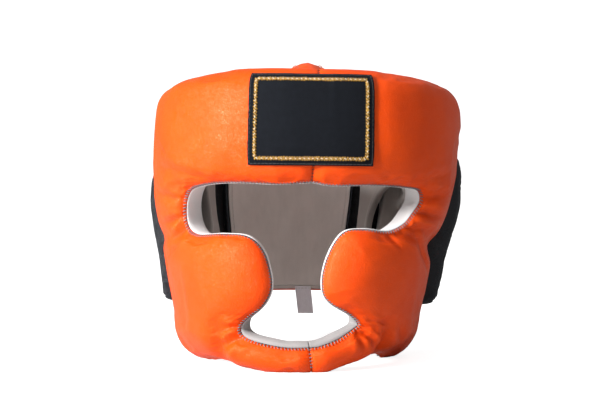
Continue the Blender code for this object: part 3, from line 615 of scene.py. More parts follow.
def stuffed(points):
    """How a sewn skin moves when it is stuffed, by cloth simulation with its border held."""
    columns, rows = points.shape[:2]
    number = np.arange(columns * rows).reshape(columns, rows)
    faces = np.stack([number[:-1, :-1], number[1:, :-1], number[1:, 1:], number[:-1, 1:]], -1).reshape(-1, 4)
    mesh = bpy.data.meshes.new("stuffing_trial")
    mesh.from_pydata(points.reshape(-1, 3).tolist(), [], faces.tolist())
    trial = bpy.data.objects.new("stuffing_trial", mesh)
    scene = bpy.context.scene
    scene.collection.objects.link(trial)
    held = trial.vertex_groups.new(name="sewn")
    border = np.unique(np.concatenate([number[0], number[-1], number[:, 0], number[:, -1]]))
    held.add(border.tolist(), 1.0, "REPLACE")
    cloth = trial.modifiers.new("Stuffing", "CLOTH")
    settings = cloth.settings
    settings.quality = 6
    settings.mass = LEATHER_WEIGHT
    settings.tension_stiffness = LEATHER_STIFFNESS
    settings.compression_stiffness = LEATHER_STIFFNESS
    settings.shear_stiffness = LEATHER_SHEAR
    settings.bending_stiffness = LEATHER_BENDING
    settings.tension_damping = LEATHER_DAMPING
    settings.compression_damping = LEATHER_DAMPING
    settings.use_pressure = True
    settings.uniform_pressure_force = STUFFING_PRESSURE
    settings.shrink_min = -STUFFING_SLACK
    settings.vertex_group_mass = "sewn"
    settings.effector_weights.gravity = 0
    cloth.point_cache.frame_start, cloth.point_cache.frame_end = 1, STUFFING_FRAMES
    for number_of_frame in range(1, STUFFING_FRAMES + 1):
        scene.frame_set(number_of_frame)
    found = trial.evaluated_get(bpy.context.evaluated_depsgraph_get())
    moved = np.empty(len(found.data.vertices) * 3)
    found.data.vertices.foreach_get("co", moved)
    moved = moved.reshape(points.shape) - points
    bpy.data.objects.remove(trial)
    bpy.data.meshes.remove(mesh)
    scene.frame_set(1)
    length = np.linalg.norm(moved, axis=-1, keepdims=True)
    return moved * (STUFFING_LIMIT * np.tanh(length / STUFFING_LIMIT) / np.maximum(length, 1e-9))


def finer(grid, columns, rows):
    """A grid of vectors read smoothly at fractional columns and rows."""
    return curve_through(curve_through(grid, columns).swapaxes(0, 1), rows).swapaxes(0, 1)


# ---------------------------------------------------------------- meshes

def piece(name, points, faces, finish, uvs=None):
    """A finished mesh object at the origin, welded, facing out, with its material."""
    mesh = bpy.data.meshes.new(name)
    mesh.from_pydata(np.asarray(points).reshape(-1, 3).tolist(), [], [list(face) for face in faces])
    if uvs is not None:
        layer = mesh.uv_layers.new(name="cut")
        loops = np.empty(len(mesh.loops), np.int32)
        mesh.loops.foreach_get("vertex_index", loops)
        layer.data.foreach_set("uv", np.asarray(uvs, np.float32).reshape(-1, 2)[loops].ravel())
    work = bmesh.new()
    work.from_mesh(mesh)
    bmesh.ops.remove_doubles(work, verts=work.verts, dist=1e-6)
    bmesh.ops.recalc_face_normals(work, faces=work.faces)
    work.to_mesh(mesh)
    work.free()
    mesh.materials.append(bpy.data.materials[finish])
    mesh.shade_smooth()
    made = bpy.data.objects.new(name, mesh)
    bpy.context.scene.collection.objects.link(made)
    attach(made, "root")
    return made


def ring_faces(columns, rows, closed_rows=True, closed_columns=False, start=0):
    number = start + np.arange(columns * rows).reshape(columns, rows)
    if closed_rows:
        number = np.concatenate([number, number[:, :1]], axis=1)
    if closed_columns:
        number = np.concatenate([number, number[:1]], axis=0)
    faces = np.stack([number[:-1, :-1], number[1:, :-1], number[1:, 1:], number[:-1, 1:]], -1)
    return faces.reshape(-1, 4).tolist()


def lofted(name, sections, finish, uvs=None, closed=False):
    """A skin over equal closed sections, closed into a ring or capped at both ends."""
    sections = np.asarray(sections)
    columns, rows = sections.shape[:2]
    faces = ring_faces(columns, rows, closed_columns=closed)
    if not closed:
        faces += [list(range(rows)), list(range((columns - 1) * rows, columns * rows))]
    return piece(name, sections, faces, finish, uvs)


def two_faced(name, inner, outer, finish, uvs=None):
    """A closed piece between two equal grids of points, walled round their edges."""
    columns, rows = inner.shape[:2]
    count = columns * rows
    faces = ring_faces(columns, rows, closed_rows=False)
    faces += ring_faces(columns, rows, closed_rows=False, start=count)
    border = [(0, j) for j in range(rows)] + [(i, rows - 1) for i in range(1, columns)]
    border += [(columns - 1, j) for j in range(rows - 2, -1, -1)] + [(i, 0) for i in range(columns - 2, 0, -1)]
    border = [i * rows + j for i, j in border]
    faces += [(a, b, b + count, a + count) for a, b in zip(border, border[1:] + border[:1])]
    both = None if uvs is None else np.concatenate([uvs.reshape(-1, 2)] * 2)
    return piece(name, np.concatenate([inner.reshape(-1, 3), outer.reshape(-1, 3)]), faces, finish, both)


def on_floor(points, level=0.0):
    points = np.array(points)
    points[..., 2] = np.maximum(points[..., 2], level)
    return points


def thread_stitch(length, thickness):
    """One stitch of thread: a short round strand with its ends turned down, modelled once."""
    bpy.ops.object.select_all(action="DESELECT")
    bpy.ops.mesh.primitive_cylinder_add(
        vertices=6, radius=thickness / 2, depth=length, rotation=(0, math.pi / 2, 0), end_fill_type="NOTHING"
    )
    strand = bpy.context.active_object
    bpy.ops.object.transform_apply(location=False, rotation=True, scale=False)
    bpy.ops.object.mode_set(mode="EDIT")
    bpy.ops.mesh.select_all(action="SELECT")
    bpy.ops.mesh.bisect(plane_co=(-length * 0.22, 0, 0), plane_no=(1, 0, 0))
    bpy.ops.mesh.select_all(action="SELECT")
    bpy.ops.mesh.bisect(plane_co=(length * 0.22, 0, 0), plane_no=(1, 0, 0))
    bpy.ops.mesh.select_all(action="DESELECT")
    bpy.ops.object.mode_set(mode="OBJECT")
    for end in (-1, 1):
        for edge in strand.data.edges:
            edge.select = all(end * strand.data.vertices[v].co.x > length * 0.45 for v in edge.vertices)
        bpy.ops.object.mode_set(mode="EDIT")
        bpy.ops.mesh.select_mode(type="EDGE")
        bpy.ops.mesh.extrude_edges_move(TRANSFORM_OT_translate={"value": (end * length * 0.07, 0, -thickness * 0.55)})
        bpy.ops.transform.resize(value=(1, 0.45, 0.45))
        bpy.ops.mesh.edge_face_add()
        bpy.ops.mesh.select_all(action="DESELECT")
        bpy.ops.object.mode_set(mode="OBJECT")
    work = bmesh.new()
    work.from_mesh(strand.data)
    bmesh.ops.recalc_face_normals(work, faces=work.faces)
    points = np.array([tuple(v.co) for v in work.verts])
    faces = [[v.index for v in face.verts] for face in work.faces]
    work.free()
    used = strand.data
    bpy.data.objects.remove(strand)
    bpy.data.meshes.remove(used)
    return points, faces


def stitching(name, stitch, places, finish, seed=1, jitter=0.08):
    """Copies of one stitch laid at places: each a middle, a direction along it and a direction out."""
    points, faces = stitch
    draw = np.random.default_rng(seed)
    all_points, all_faces = [], []
    for k, (middle, along, out) in enumerate(places):
        x = np.array(along) / np.linalg.norm(along)
        z = np.array(out) - np.dot(out, x) * x
        z /= np.linalg.norm(z)
        y = np.cross(z, x)
        turn = draw.normal(0, jitter)
        x, y = x * math.cos(turn) + y * math.sin(turn), y * math.cos(turn) - x * math.sin(turn)
        size = 1 + draw.normal(0, 0.05)
        all_points.append(np.array(middle) + size * points @ np.array([x, y, z]))
        all_faces += [[v + k * len(points) for v in face] for face in faces]
    made = piece(name, np.concatenate(all_points), all_faces, finish)
    return made


def sewn_along(laid, spots, ahead, lift=0.01):
    """Places for stitches: laid(spots, lift) gives points, and ahead is a little further along."""
    at = laid(spots, 0.0)
    return list(zip(at, laid(ahead, 0.0) - at, laid(spots, lift) - at))


# ---------------------------------------------------------------- node groups and finishes

def add(tree, kind, inputs=None, **settings):
    """A node with its settings and its inputs, each a value or another node's output."""
    made = tree.nodes.new("ShaderNode" + kind)
    for name, value in settings.items():
        setattr(made, name, value)
    for name, value in (inputs or {}).items():
        if isinstance(value, bpy.types.NodeSocket):
            tree.links.new(value, made.inputs[name])
        else:
            made.inputs[name].default_value = value
    return made


def maths(tree, operation, a, b, clamp=False):
    made = add(tree, "Math", {0: a, 1: b}, operation=operation)
    made.use_clamp = clamp
    return made.outputs[0]


def send(tree, node, **results):
    """Links results to a node's inputs of the same names."""
    for name, value in results.items():
        tree.links.new(value, node.inputs[name])


def ranged(tree, value, low, high, to_low=0.0, to_high=1.0):
    limits = {"From Min": low, "From Max": high, "To Min": to_low, "To Max": to_high}
    return add(tree, "MapRange", {"Value": value, **limits}).outputs[0]


def blended(tree, share, a, b, mode="MIX"):
    made = add(tree, "Mix", data_type="RGBA", blend_type=mode)
    for key, value in ((0, share), (6, a), (7, b)):
        if isinstance(value, bpy.types.NodeSocket):
            tree.links.new(value, made.inputs[key])
        else:
            made.inputs[key].default_value = value if key == 0 else (*value[:3], 1)
    return made.outputs[2]


def new_group(name, inputs, outputs):
    tree = bpy.data.node_groups.new(name, "ShaderNodeTree")
    kinds = {"value": "NodeSocketFloat", "colour": "NodeSocketColor", "vector": "NodeSocketVector"}
    for title, kind, default in inputs:
        socket = tree.interface.new_socket(name=title, in_out="INPUT", socket_type=kinds[kind])
        socket.default_value = (*default, 1) if kind == "colour" else default
    for title, kind in outputs:
        tree.interface.new_socket(name=title, in_out="OUTPUT", socket_type=kinds[kind])
    return tree, tree.nodes.new("NodeGroupInput"), tree.nodes.new("NodeGroupOutput")


def leather_group():
    """Pores, fine folds and uneven dye of smooth cowhide."""
    tree, given, out = new_group(
        "leather_grain",
        [("Colour", "colour", (0.8, 0.2, 0.05)), ("Deep colour", "colour", (0.5, 0.1, 0.02)),
         ("Pores per metre", "value", 1300.0), ("Fold strength", "value", 0.5),
         ("Roughness", "value", 0.45), ("Mottling", "value", 0.35)],
        [("Colour", "colour"), ("Roughness", "value"), ("Height", "value")],
    )
    where = add(tree, "TexCoord").outputs["Object"]
    bend = add(tree, "TexNoise", {"Vector": where, "Scale": 90.0, "Detail": 3.0}).outputs["Color"]
    bent = add(tree, "Mix", {0: 0.012, 4: where, 5: bend}, data_type="VECTOR").outputs[1]
    spacing = {"Vector": bent, "Scale": given.outputs["Pores per metre"]}
    pores = add(tree, "TexVoronoi", spacing, feature="DISTANCE_TO_EDGE")
    pore = ranged(tree, pores.outputs["Distance"], 0.0, 0.22)
    folds = add(tree, "TexVoronoi", {"Vector": bent, "Scale": 210.0}, feature="DISTANCE_TO_EDGE")
    fold = ranged(tree, folds.outputs["Distance"], 0.0, 0.16)
    broken = add(tree, "TexNoise", {"Vector": where, "Scale": 140.0, "Detail": 4.0}).outputs["Fac"]
    fold = maths(tree, "MAXIMUM", fold, ranged(tree, broken, 0.42, 0.56), clamp=True)
    fine = add(tree, "TexNoise", {"Vector": where, "Scale": 2600.0, "Detail": 3.0, "Roughness": 0.6}).outputs["Fac"]
    height = maths(tree, "MULTIPLY", fold, given.outputs["Fold strength"])
    height = maths(tree, "ADD", height, maths(tree, "MULTIPLY", pore, 0.55))
    height = maths(tree, "ADD", height, maths(tree, "MULTIPLY", fine, 0.35))
    broad = add(tree, "TexNoise", {"Vector": where, "Scale": 26.0, "Detail": 5.0, "Roughness": 0.55}).outputs["Fac"]
    shade = maths(tree, "MULTIPLY", ranged(tree, broad, 0.32, 0.68), given.outputs["Mottling"])
    inside_pore = maths(tree, "MULTIPLY", maths(tree, "SUBTRACT", 1.0, pore), 0.28)
    shade = maths(tree, "ADD", shade, inside_pore, clamp=True)
    colour = blended(tree, shade, given.outputs["Colour"], given.outputs["Deep colour"])
    rough = maths(tree, "ADD", given.outputs["Roughness"], ranged(tree, broad, 0.3, 0.7, -0.05, 0.06))
    rough = maths(tree, "ADD", rough, maths(tree, "MULTIPLY", inside_pore, 0.4))
    send(tree, out, Colour=colour, Roughness=rough, Height=height)
    return tree


def suede_group():
    """Brushed nap and soft dirt of split leather."""
    tree, given, out = new_group(
        "suede_nap",
        [("Colour", "colour", (0.6, 0.56, 0.52)), ("Worn colour", "colour", (0.4, 0.36, 0.33)),
         ("Nap per metre", "value", 1900.0), ("Dirt", "value", 0.4)],
        [("Colour", "colour"), ("Roughness", "value"), ("Height", "value")],
    )
    where = add(tree, "TexCoord").outputs["Object"]
    hairs = {"Vector": where, "Scale": given.outputs["Nap per metre"], "Detail": 4.0, "Roughness": 0.7}
    nap = add(tree, "TexNoise", hairs).outputs["Fac"]
    brush = add(tree, "Mapping", {"Vector": where, "Scale": (1.0, 1.0, 0.3)}).outputs["Vector"]
    streaks = {"Vector": brush, "Scale": 130.0, "Detail": 5.0, "Roughness": 0.65}
    strokes = add(tree, "TexNoise", streaks).outputs["Fac"]
    broad = add(tree, "TexNoise", {"Vector": where, "Scale": 24.0, "Detail": 4.0}).outputs["Fac"]
    shade = maths(tree, "MULTIPLY", ranged(tree, broad, 0.35, 0.7), given.outputs["Dirt"])
    shade = maths(tree, "ADD", shade, ranged(tree, strokes, 0.4, 0.72, 0.0, 0.22))
    shade = maths(tree, "ADD", shade, ranged(tree, nap, 0.35, 0.75, 0.0, 0.16), clamp=True)
    colour = blended(tree, shade, given.outputs["Colour"], given.outputs["Worn colour"])
    height = maths(tree, "ADD", maths(tree, "MULTIPLY", nap, 0.7), maths(tree, "MULTIPLY", strokes, 0.5))
    send(tree, out, Colour=colour, Roughness=ranged(tree, strokes, 0.3, 0.7, 0.80, 0.95), Height=height)
    return tree


def weave_group():
    """Over-and-under threads of a woven cloth or tape, laid on the piece's own cut."""
    tree, given, out = new_group(
        "plain_weave",
        [("Colour", "colour", (0.02, 0.02, 0.02)), ("Painted thread highlight", "colour", (0.06, 0.06, 0.06)),
         ("Threads per metre", "value", 1500.0)],
        [("Colour", "colour"), ("Roughness", "value"), ("Height", "value")],
    )
    where = add(tree, "UVMap", uv_map="cut").outputs["UV"]
    apart = add(tree, "SeparateXYZ", {0: where})
    turns = maths(tree, "MULTIPLY", given.outputs["Threads per metre"], math.pi)
    warp, weft = (
        maths(tree, "ABSOLUTE", maths(tree, "SINE", maths(tree, "MULTIPLY", apart.outputs[k], turns), 0.0), 0.0)
        for k in (0, 1)
    )
    over = add(tree, "TexChecker", {"Vector": where, "Scale": given.outputs["Threads per metre"]}).outputs["Fac"]
    height = add(tree, "Mix", {0: over, 2: warp, 3: weft}, data_type="FLOAT").outputs[0]
    uneven = add(tree, "TexNoise", {"Vector": where, "Scale": 260.0, "Detail": 3.0}).outputs["Fac"]
    uneven_highlight = ranged(tree, uneven, 0.3, 0.7, 0.5, 1.0)
    # Painted highlight: the raised crowns of the threads are lightened, more in some patches than in others
    light = maths(tree, "MULTIPLY", maths(tree, "MULTIPLY", height, height), uneven_highlight)
    colour = blended(tree, light, given.outputs["Colour"], given.outputs["Painted thread highlight"])
    send(tree, out, Colour=colour, Roughness=ranged(tree, height, 0.0, 1.0, 0.92, 0.66), Height=height)
    return tree


def thread_group():
    """Twisted plies of a sewing thread."""
    tree, given, out = new_group(
        "thread_twist",
        [("Colour", "colour", (0.5, 0.5, 0.5)), ("Shade", "colour", (0.2, 0.2, 0.2)),
         ("Plies per metre", "value", 900.0)],
        [("Colour", "colour"), ("Roughness", "value"), ("Height", "value")],
    )
    where = add(tree, "TexCoord").outputs["Object"]
    plies = {"Vector": where, "Scale": given.outputs["Plies per metre"], "Distortion": 1.2, "Detail": 1.0}
    twist = add(tree, "TexWave", plies, wave_type="BANDS", bands_direction="DIAGONAL").outputs["Fac"]
    uneven = add(tree, "TexNoise", {"Vector": where, "Scale": 420.0, "Detail": 2.0}).outputs["Fac"]
    # Painted shade: the grooves between the plies are darkened towards the shade colour, and the noise adds uneven
    # tone
    shade = maths(tree, "MULTIPLY", maths(tree, "SUBTRACT", 1.0, twist), 0.6)
    shade = maths(tree, "ADD", shade, ranged(tree, uneven, 0.4, 0.7, 0.0, 0.4), clamp=True)
    colour = blended(tree, shade, given.outputs["Colour"], given.outputs["Shade"])
    send(tree, out, Colour=colour, Roughness=ranged(tree, twist, 0.0, 1.0, 0.62, 0.42), Height=twist)
    return tree


def wear_and_shade_group():
    """Rubbed edges and dusty hollows, from how sharply the surface turns."""
    tree, given, out = new_group(
        "rubbed_edges_and_hollow_shade",
        [("Colour", "colour", (0.5, 0.5, 0.5)), ("Rubbed colour", "colour", (0.7, 0.7, 0.7)),
         ("Painted hollow shade", "colour", (0.2, 0.2, 0.2)), ("Amount", "value", 0.4)],
        [("Colour", "colour")],
    )
    turn = add(tree, "NewGeometry").outputs["Pointiness"]
    rubbed = maths(tree, "MULTIPLY", ranged(tree, turn, 0.505, 0.56), given.outputs["Amount"], clamp=True)
    # Painted shade: concave places are darkened towards the hollow colour
    hollow = maths(tree, "MULTIPLY", ranged(tree, turn, 0.495, 0.45), given.outputs["Amount"], clamp=True)
    colour = blended(tree, rubbed, given.outputs["Colour"], given.outputs["Rubbed colour"])
    tree.links.new(blended(tree, hollow, colour, given.outputs["Painted hollow shade"]), out.inputs["Colour"])
    return tree


def finish_material(name, group, values, bump, wear_and_shade=None, fixed=None, rim=None):
    """A material whose colour, roughness and surface height come from a node group.

    A rim is a strip along the start of the piece's cut: its colour, its colour below a level,
    its width in metres, and that level.
    """
    made = bpy.data.materials.new(name)
    made.use_nodes = True
    tree = made.node_tree
    shader = tree.nodes["Principled BSDF"]
    detail = tree.nodes.new("ShaderNodeGroup")
    detail.node_tree = group
    for key, value in values.items():
        detail.inputs[key].default_value = (*value, 1) if isinstance(value, tuple) else value
    colour = detail.outputs["Colour"]
    # The group below lightens rubbed edges as wear, and darkens the hollows as painted shade
    if wear_and_shade:
        rubbed = tree.nodes.new("ShaderNodeGroup")
        rubbed.node_tree = bpy.data.node_groups["rubbed_edges_and_hollow_shade"]
        tree.links.new(colour, rubbed.inputs["Colour"])
        for key, value in wear_and_shade.items():
            rubbed.inputs[key].default_value = (*value, 1) if isinstance(value, tuple) else value
        colour = rubbed.outputs["Colour"]
    if rim:
        cut = add(tree, "UVMap", uv_map="cut").outputs["UV"]
        across = add(tree, "SeparateXYZ", {0: cut}).outputs[1]
        height = add(tree, "SeparateXYZ", {0: add(tree, "TexCoord").outputs["Object"]}).outputs[2]
        strip = blended(tree, ranged(tree, height, rim[3] * 0.8, rim[3] * 1.2), rim[1], rim[0])
        strip = blended(tree, 0.65, colour, strip)
        colour = blended(tree, ranged(tree, across, rim[2] * 0.9, rim[2] * 1.15), strip, colour)
    tree.links.new(colour, shader.inputs["Base Color"])
    tree.links.new(detail.outputs["Roughness"], shader.inputs["Roughness"])
    raised = add(tree, "Bump", {"Strength": bump[0], "Distance": bump[1], "Height": detail.outputs["Height"]})
    tree.links.new(raised.outputs["Normal"], shader.inputs["Normal"])
    for key, value in (fixed or {}).items():
        shader.inputs[key].default_value = (*value, 1) if isinstance(value, tuple) else value
    return made


def make_finishes(sizes):
    groups = {
        "leather": leather_group(), "suede": suede_group(), "weave": weave_group(),
        "thread": thread_group(), "wear_and_shade": wear_and_shade_group(),
    }
    orange = tuple(sizes.leather_colour)
    deep = (orange[0] * 0.84, orange[1] * 0.60, orange[2] * 0.5)
    # In the dicts of rubbed and hollow colours below, the rubbed colour is edge wear and the hollow colour is painted
    # shade in the hollows
    finish_material(
        "orange_hide", groups["leather"],
        {"Colour": orange, "Deep colour": deep, "Pores per metre": 1050.0, "Fold strength": 0.35,
         "Roughness": 0.37, "Mottling": 0.35},
        (0.8, 0.00026),
        {"Rubbed colour": (0.92, 0.10, 0.008), "Painted hollow shade": (0.38, 0.014, 0.001), "Amount": 0.6},
        {"Specular IOR Level": 0.32, "Specular Tint": (1.0, 0.80, 0.55)},
    )
    finish_material(
        "pale_suede", groups["suede"],
        {"Colour": tuple(sizes.lining_colour), "Worn colour": (0.44, 0.395, 0.37), "Nap per metre": 1900.0,
         "Dirt": 0.35},
        (0.5, 0.0003),
        {"Rubbed colour": (0.58, 0.55, 0.53), "Painted hollow shade": (0.22, 0.19, 0.175), "Amount": 0.5},
        {"Sheen Weight": 0.15, "Sheen Roughness": 0.5, "Specular IOR Level": 0.2},
        rim=((0.66, 0.675, 0.69), (0.13, 0.14, 0.155), 0.0165, 0.045),
    )
    finish_material(
        "ear_suede", groups["suede"],
        {"Colour": (0.40, 0.365, 0.345), "Worn colour": (0.26, 0.235, 0.22), "Nap per metre": 1700.0, "Dirt": 0.45},
        (0.55, 0.0004),
        {"Rubbed colour": (0.70, 0.67, 0.64), "Painted hollow shade": (0.20, 0.18, 0.16), "Amount": 0.6},
        {"Sheen Weight": 0.25, "Sheen Roughness": 0.5, "Specular IOR Level": 0.25},
    )
    finish_material(
        "black_hide", groups["leather"],
        {"Colour": (0.010, 0.012, 0.016), "Deep colour": (0.004, 0.005, 0.007), "Pores per metre": 900.0,
         "Fold strength": 0.9, "Roughness": 0.42, "Mottling": 0.5},
        (0.8, 0.00035),
        {"Rubbed colour": (0.07, 0.08, 0.095), "Painted hollow shade": (0.004, 0.004, 0.005), "Amount": 0.5},
        {"Specular IOR Level": 0.28},
    )
    finish_material(
        "black_tape", groups["weave"],
        {"Colour": (0.008, 0.008, 0.010), "Painted thread highlight": (0.035, 0.036, 0.042), "Threads per metre": 900.0},
        (0.8, 0.0004), None, {"Specular IOR Level": 0.35, "Sheen Weight": 0.3, "Sheen Roughness": 0.4},
    )
    finish_material(
        "badge_weave", groups["weave"],
        {"Colour": (0.002, 0.003, 0.005), "Painted thread highlight": (0.007, 0.009, 0.014), "Threads per metre": 1500.0},
        (0.7, 0.0003), None, {"Specular IOR Level": 0.12, "Sheen Weight": 0.02, "Sheen Roughness": 0.4},
    )
    finish_material(
        "label_weave", groups["weave"],
        {"Colour": (0.74, 0.69, 0.73), "Painted thread highlight": (0.90, 0.86, 0.90), "Threads per metre": 2200.0},
        (0.6, 0.0002), None, {"Specular IOR Level": 0.35, "Sheen Weight": 0.2, "Sheen Roughness": 0.4},
    )
    threads = {
        "seam_thread": ((0.24, 0.29, 0.32), (0.07, 0.10, 0.12)),
        "orange_thread": ((0.62, 0.12, 0.025), (0.25, 0.03, 0.006)),
        "brow_thread": ((0.30, 0.07, 0.03), (0.10, 0.015, 0.008)),
        "black_thread": ((0.030, 0.032, 0.036), (0.006, 0.006, 0.007)),
        "pale_thread": ((0.66, 0.63, 0.60), (0.36, 0.33, 0.30)),
        # The white thread below is for the painted glints on the badge's gold braid
        "painted_glint_thread": ((0.92, 0.90, 0.84), (0.62, 0.55, 0.40)),
    }
    for name, (colour, shade) in threads.items():
        finish_material(
            name, groups["thread"], {"Colour": colour, "Shade": shade, "Plies per metre": 900.0},
            (0.5, 0.0002), None, {"Specular IOR Level": 0.4, "Sheen Weight": 0.2, "Sheen Roughness": 0.4},
        )
    finish_material(
        "gold_braid", groups["thread"],
        {"Colour": (0.60, 0.32, 0.020), "Shade": (0.13, 0.055, 0.004), "Plies per metre": 1100.0},
        (0.6, 0.0002), None, {"Specular IOR Level": 0.7, "Sheen Weight": 0.1, "Sheen Roughness": 0.3},
    )


# ---------------------------------------------------------------- the pieces

def skin_layout(side, columns, rows, to_edge=1.0):
    """The front leather of one half as a grid: flat places, fullness, and its cut in metres."""
    where = even_places(side, columns)
    seam, edge = line_at(seam_rows(side), where), line_at(edge_rows(side), where)
    fullness = curve_through([row[4] for row in STATIONS[side]], where)
    share = spread(0.0, to_edge, rows)
    flat = seam[:, None] + share[None, :, None] * (edge - seam)[:, None]
    along = run_along(flat[:, rows // 2])
    width = np.linalg.norm(edge - seam, axis=1)
    cut = np.stack([np.repeat(along[:, None], rows, 1), share[None] * width[:, None]], -1)
    return flat, np.repeat(fullness[:, None], rows, 1), cut


def middle_planes():
    """The two middle seams' planes, each a point on it and its normal towards +X."""
    planes = []
    for start in (0, 2):
        ends = LINES[2][start:start + 2]
        flat = ends[0] + np.linspace(0, 1, 13)[:, None] * (ends[1] - ends[0])
        over = over_form(flat, pad_offset(flat, 1.0))
        under = over_form(flat, LINING_THICKNESS)
        points = np.concatenate([over, under])
        centre = points.mean(0)
        normal = np.linalg.svd(points - centre)[2][-1]
        planes.append((centre, normal * np.sign(normal[0])))
    return planes


def beside_middle(sections, side, level=0.0):
    """Ends pressed against the middle seams' planes, a hair's breadth from the other half."""
    turn = -1 if side == "right" else 1
    for end, (centre, normal) in zip((0, -1), middle_planes()):
        away = (sections[end] - centre) @ normal - turn * PIECE_GAP
        sections[end] = sections[end] - away[:, None] * normal
    for start, step in ((0, 1), (-1, -1)):
        centre, normal = middle_planes()[0 if start == 0 else 1]
        for k in range(1, 6):
            row = sections[start + step * k]
            over = np.minimum(0, turn * ((row - centre) @ normal) - PIECE_GAP)
            sections[start + step * k] = row - turn * over[:, None] * normal
    return on_floor(sections, level)


def beside_badge(points):
    """0 under the badge, which is sewn down, rising to 1 beside and below it."""
    aside = np.abs(points[..., 0] - CENTRING[0]) - BADGE_WIDTH / 2
    below = GUARD_HEIGHT - BADGE_BELOW_TOP - BADGE_HEIGHT - points[..., 2]
    free = np.maximum(aside - 0.003, below - 0.001)
    return np.where(points[..., 1] < 0, eased(free / 0.012), 1.0)


def front_skin(side):
    """The outer leather of one half as a fine grid of points, stuffed and gathered."""
    flat, fullness, cut = skin_layout(side, SKIN_COLUMNS, SKIN_ROWS)
    offset = pad_offset(flat, fullness) + leather_relief(flat)
    points = over_form(flat, offset)
    columns, rows = STUFFING_COLUMNS, STUFFING_ROWS
    rough_flat, rough_full, _ = skin_layout(side, columns, rows)
    rough = over_form(rough_flat, pad_offset(rough_flat, rough_full))
    if side == "left":
        rough = rough[:, ::-1]
    moved = stuffed(rough)
    if side == "left":
        moved = moved[:, ::-1]
    moved = finer(moved, np.linspace(0, columns - 1, SKIN_COLUMNS), np.linspace(0, rows - 1, SKIN_ROWS))
    points = points + moved * beside_badge(points)[..., None]
    return points, flat, cut


def make_front_pads(sizes):
    for side in STATIONS:
        points, flat, cut = front_skin(side)
        seam, edge = flat[:, 0], flat[:, -1]
        back = sheet_points(seam, into_opening(seam, side), edge, np.linspace(1, 0, 9))
        level = np.full(back.shape[:2], LINING_THICKNESS + PIECE_GAP)
        level[:, -1] += RIM_GAP
        under = over_form(back, level)
        sections = beside_middle(np.concatenate([points, under], axis=1), side)
        under_cut = np.stack([np.repeat(cut[:, :1, 0], 9, 1), np.linspace(1, 0, 9)[None] * cut[:, -1:, 1]], -1)
        pad = lofted(f"pad_{side}", sections, "orange_hide", np.concatenate([cut, under_cut], axis=1))
        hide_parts(f"front_pad_{side}")


def make_front_linings(sizes):
    share_round = np.linspace(0, len(RIM_PROFILE) - 1, 20)
    rim_across = curve_through([row[0] for row in RIM_PROFILE], share_round)
    rim_up = curve_through([row[1] for row in RIM_PROFILE], share_round)
    for side in STATIONS:
        where = even_places(side, SKIN_COLUMNS)
        seam, edge = line_at(seam_rows(side), where), line_at(edge_rows(side), where)
        inwards = into_opening(seam, side)
        length = run_along(seam)
        soft = ripple(length, 0.0075, 23 if side == "right" else 29)
        width = RIM_WIDTH + (CHIN_RIM_WIDTH - RIM_WIDTH) * chin_share(seam[:, 1])
        width *= 1 + 0.08 * soft
        reach = np.maximum(rim_across * width[:, None], RIM_GAP) - (1 - rim_up) * undercut(seam[:, 1])[:, None]
        rim = seam[:, None] + reach[..., None] * inwards[:, None]
        rim_level = SEAM_HEIGHT * rim_up * (1 + 0.012 * ripple(length, 0.0046, 31))[:, None]
        sheet = sheet_points(seam, inwards, edge, np.linspace(0, 1, 16))[:, 1:]
        uneven = 0.0003 * np.maximum(0, patches(sheet[..., 0] + 5, sheet[..., 1], 0.012, 37))
        back = sheet[:, ::-1]
        under = 1 - LINING_THICKNESS / SEAM_HEIGHT
        behind = seam + (RIM_GAP - under * undercut(seam[:, 1]))[:, None] * inwards
        flat = np.concatenate([rim, sheet, back, behind[:, None]], axis=1)
        count = sheet.shape[1]
        level = np.concatenate(
            [rim_level, uneven, np.full((len(seam), count), LINING_THICKNESS),
             np.full((len(seam), 1), LINING_THICKNESS)], axis=1,
        )
        sections = over_form(flat, level)
        sections = beside_middle(sections, side, PIECE_GAP)
        step = np.linalg.norm(np.diff(sections, axis=1), axis=-1)
        across = np.concatenate([np.zeros((len(seam), 1)), np.cumsum(step, axis=1)], axis=1)
        cut = np.stack([np.repeat(length[:, None], flat.shape[1], 1), across], -1)
        lining = lofted(f"lining_{side}", sections, "pale_suede", cut)
        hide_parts(f"front_lining_{side}")


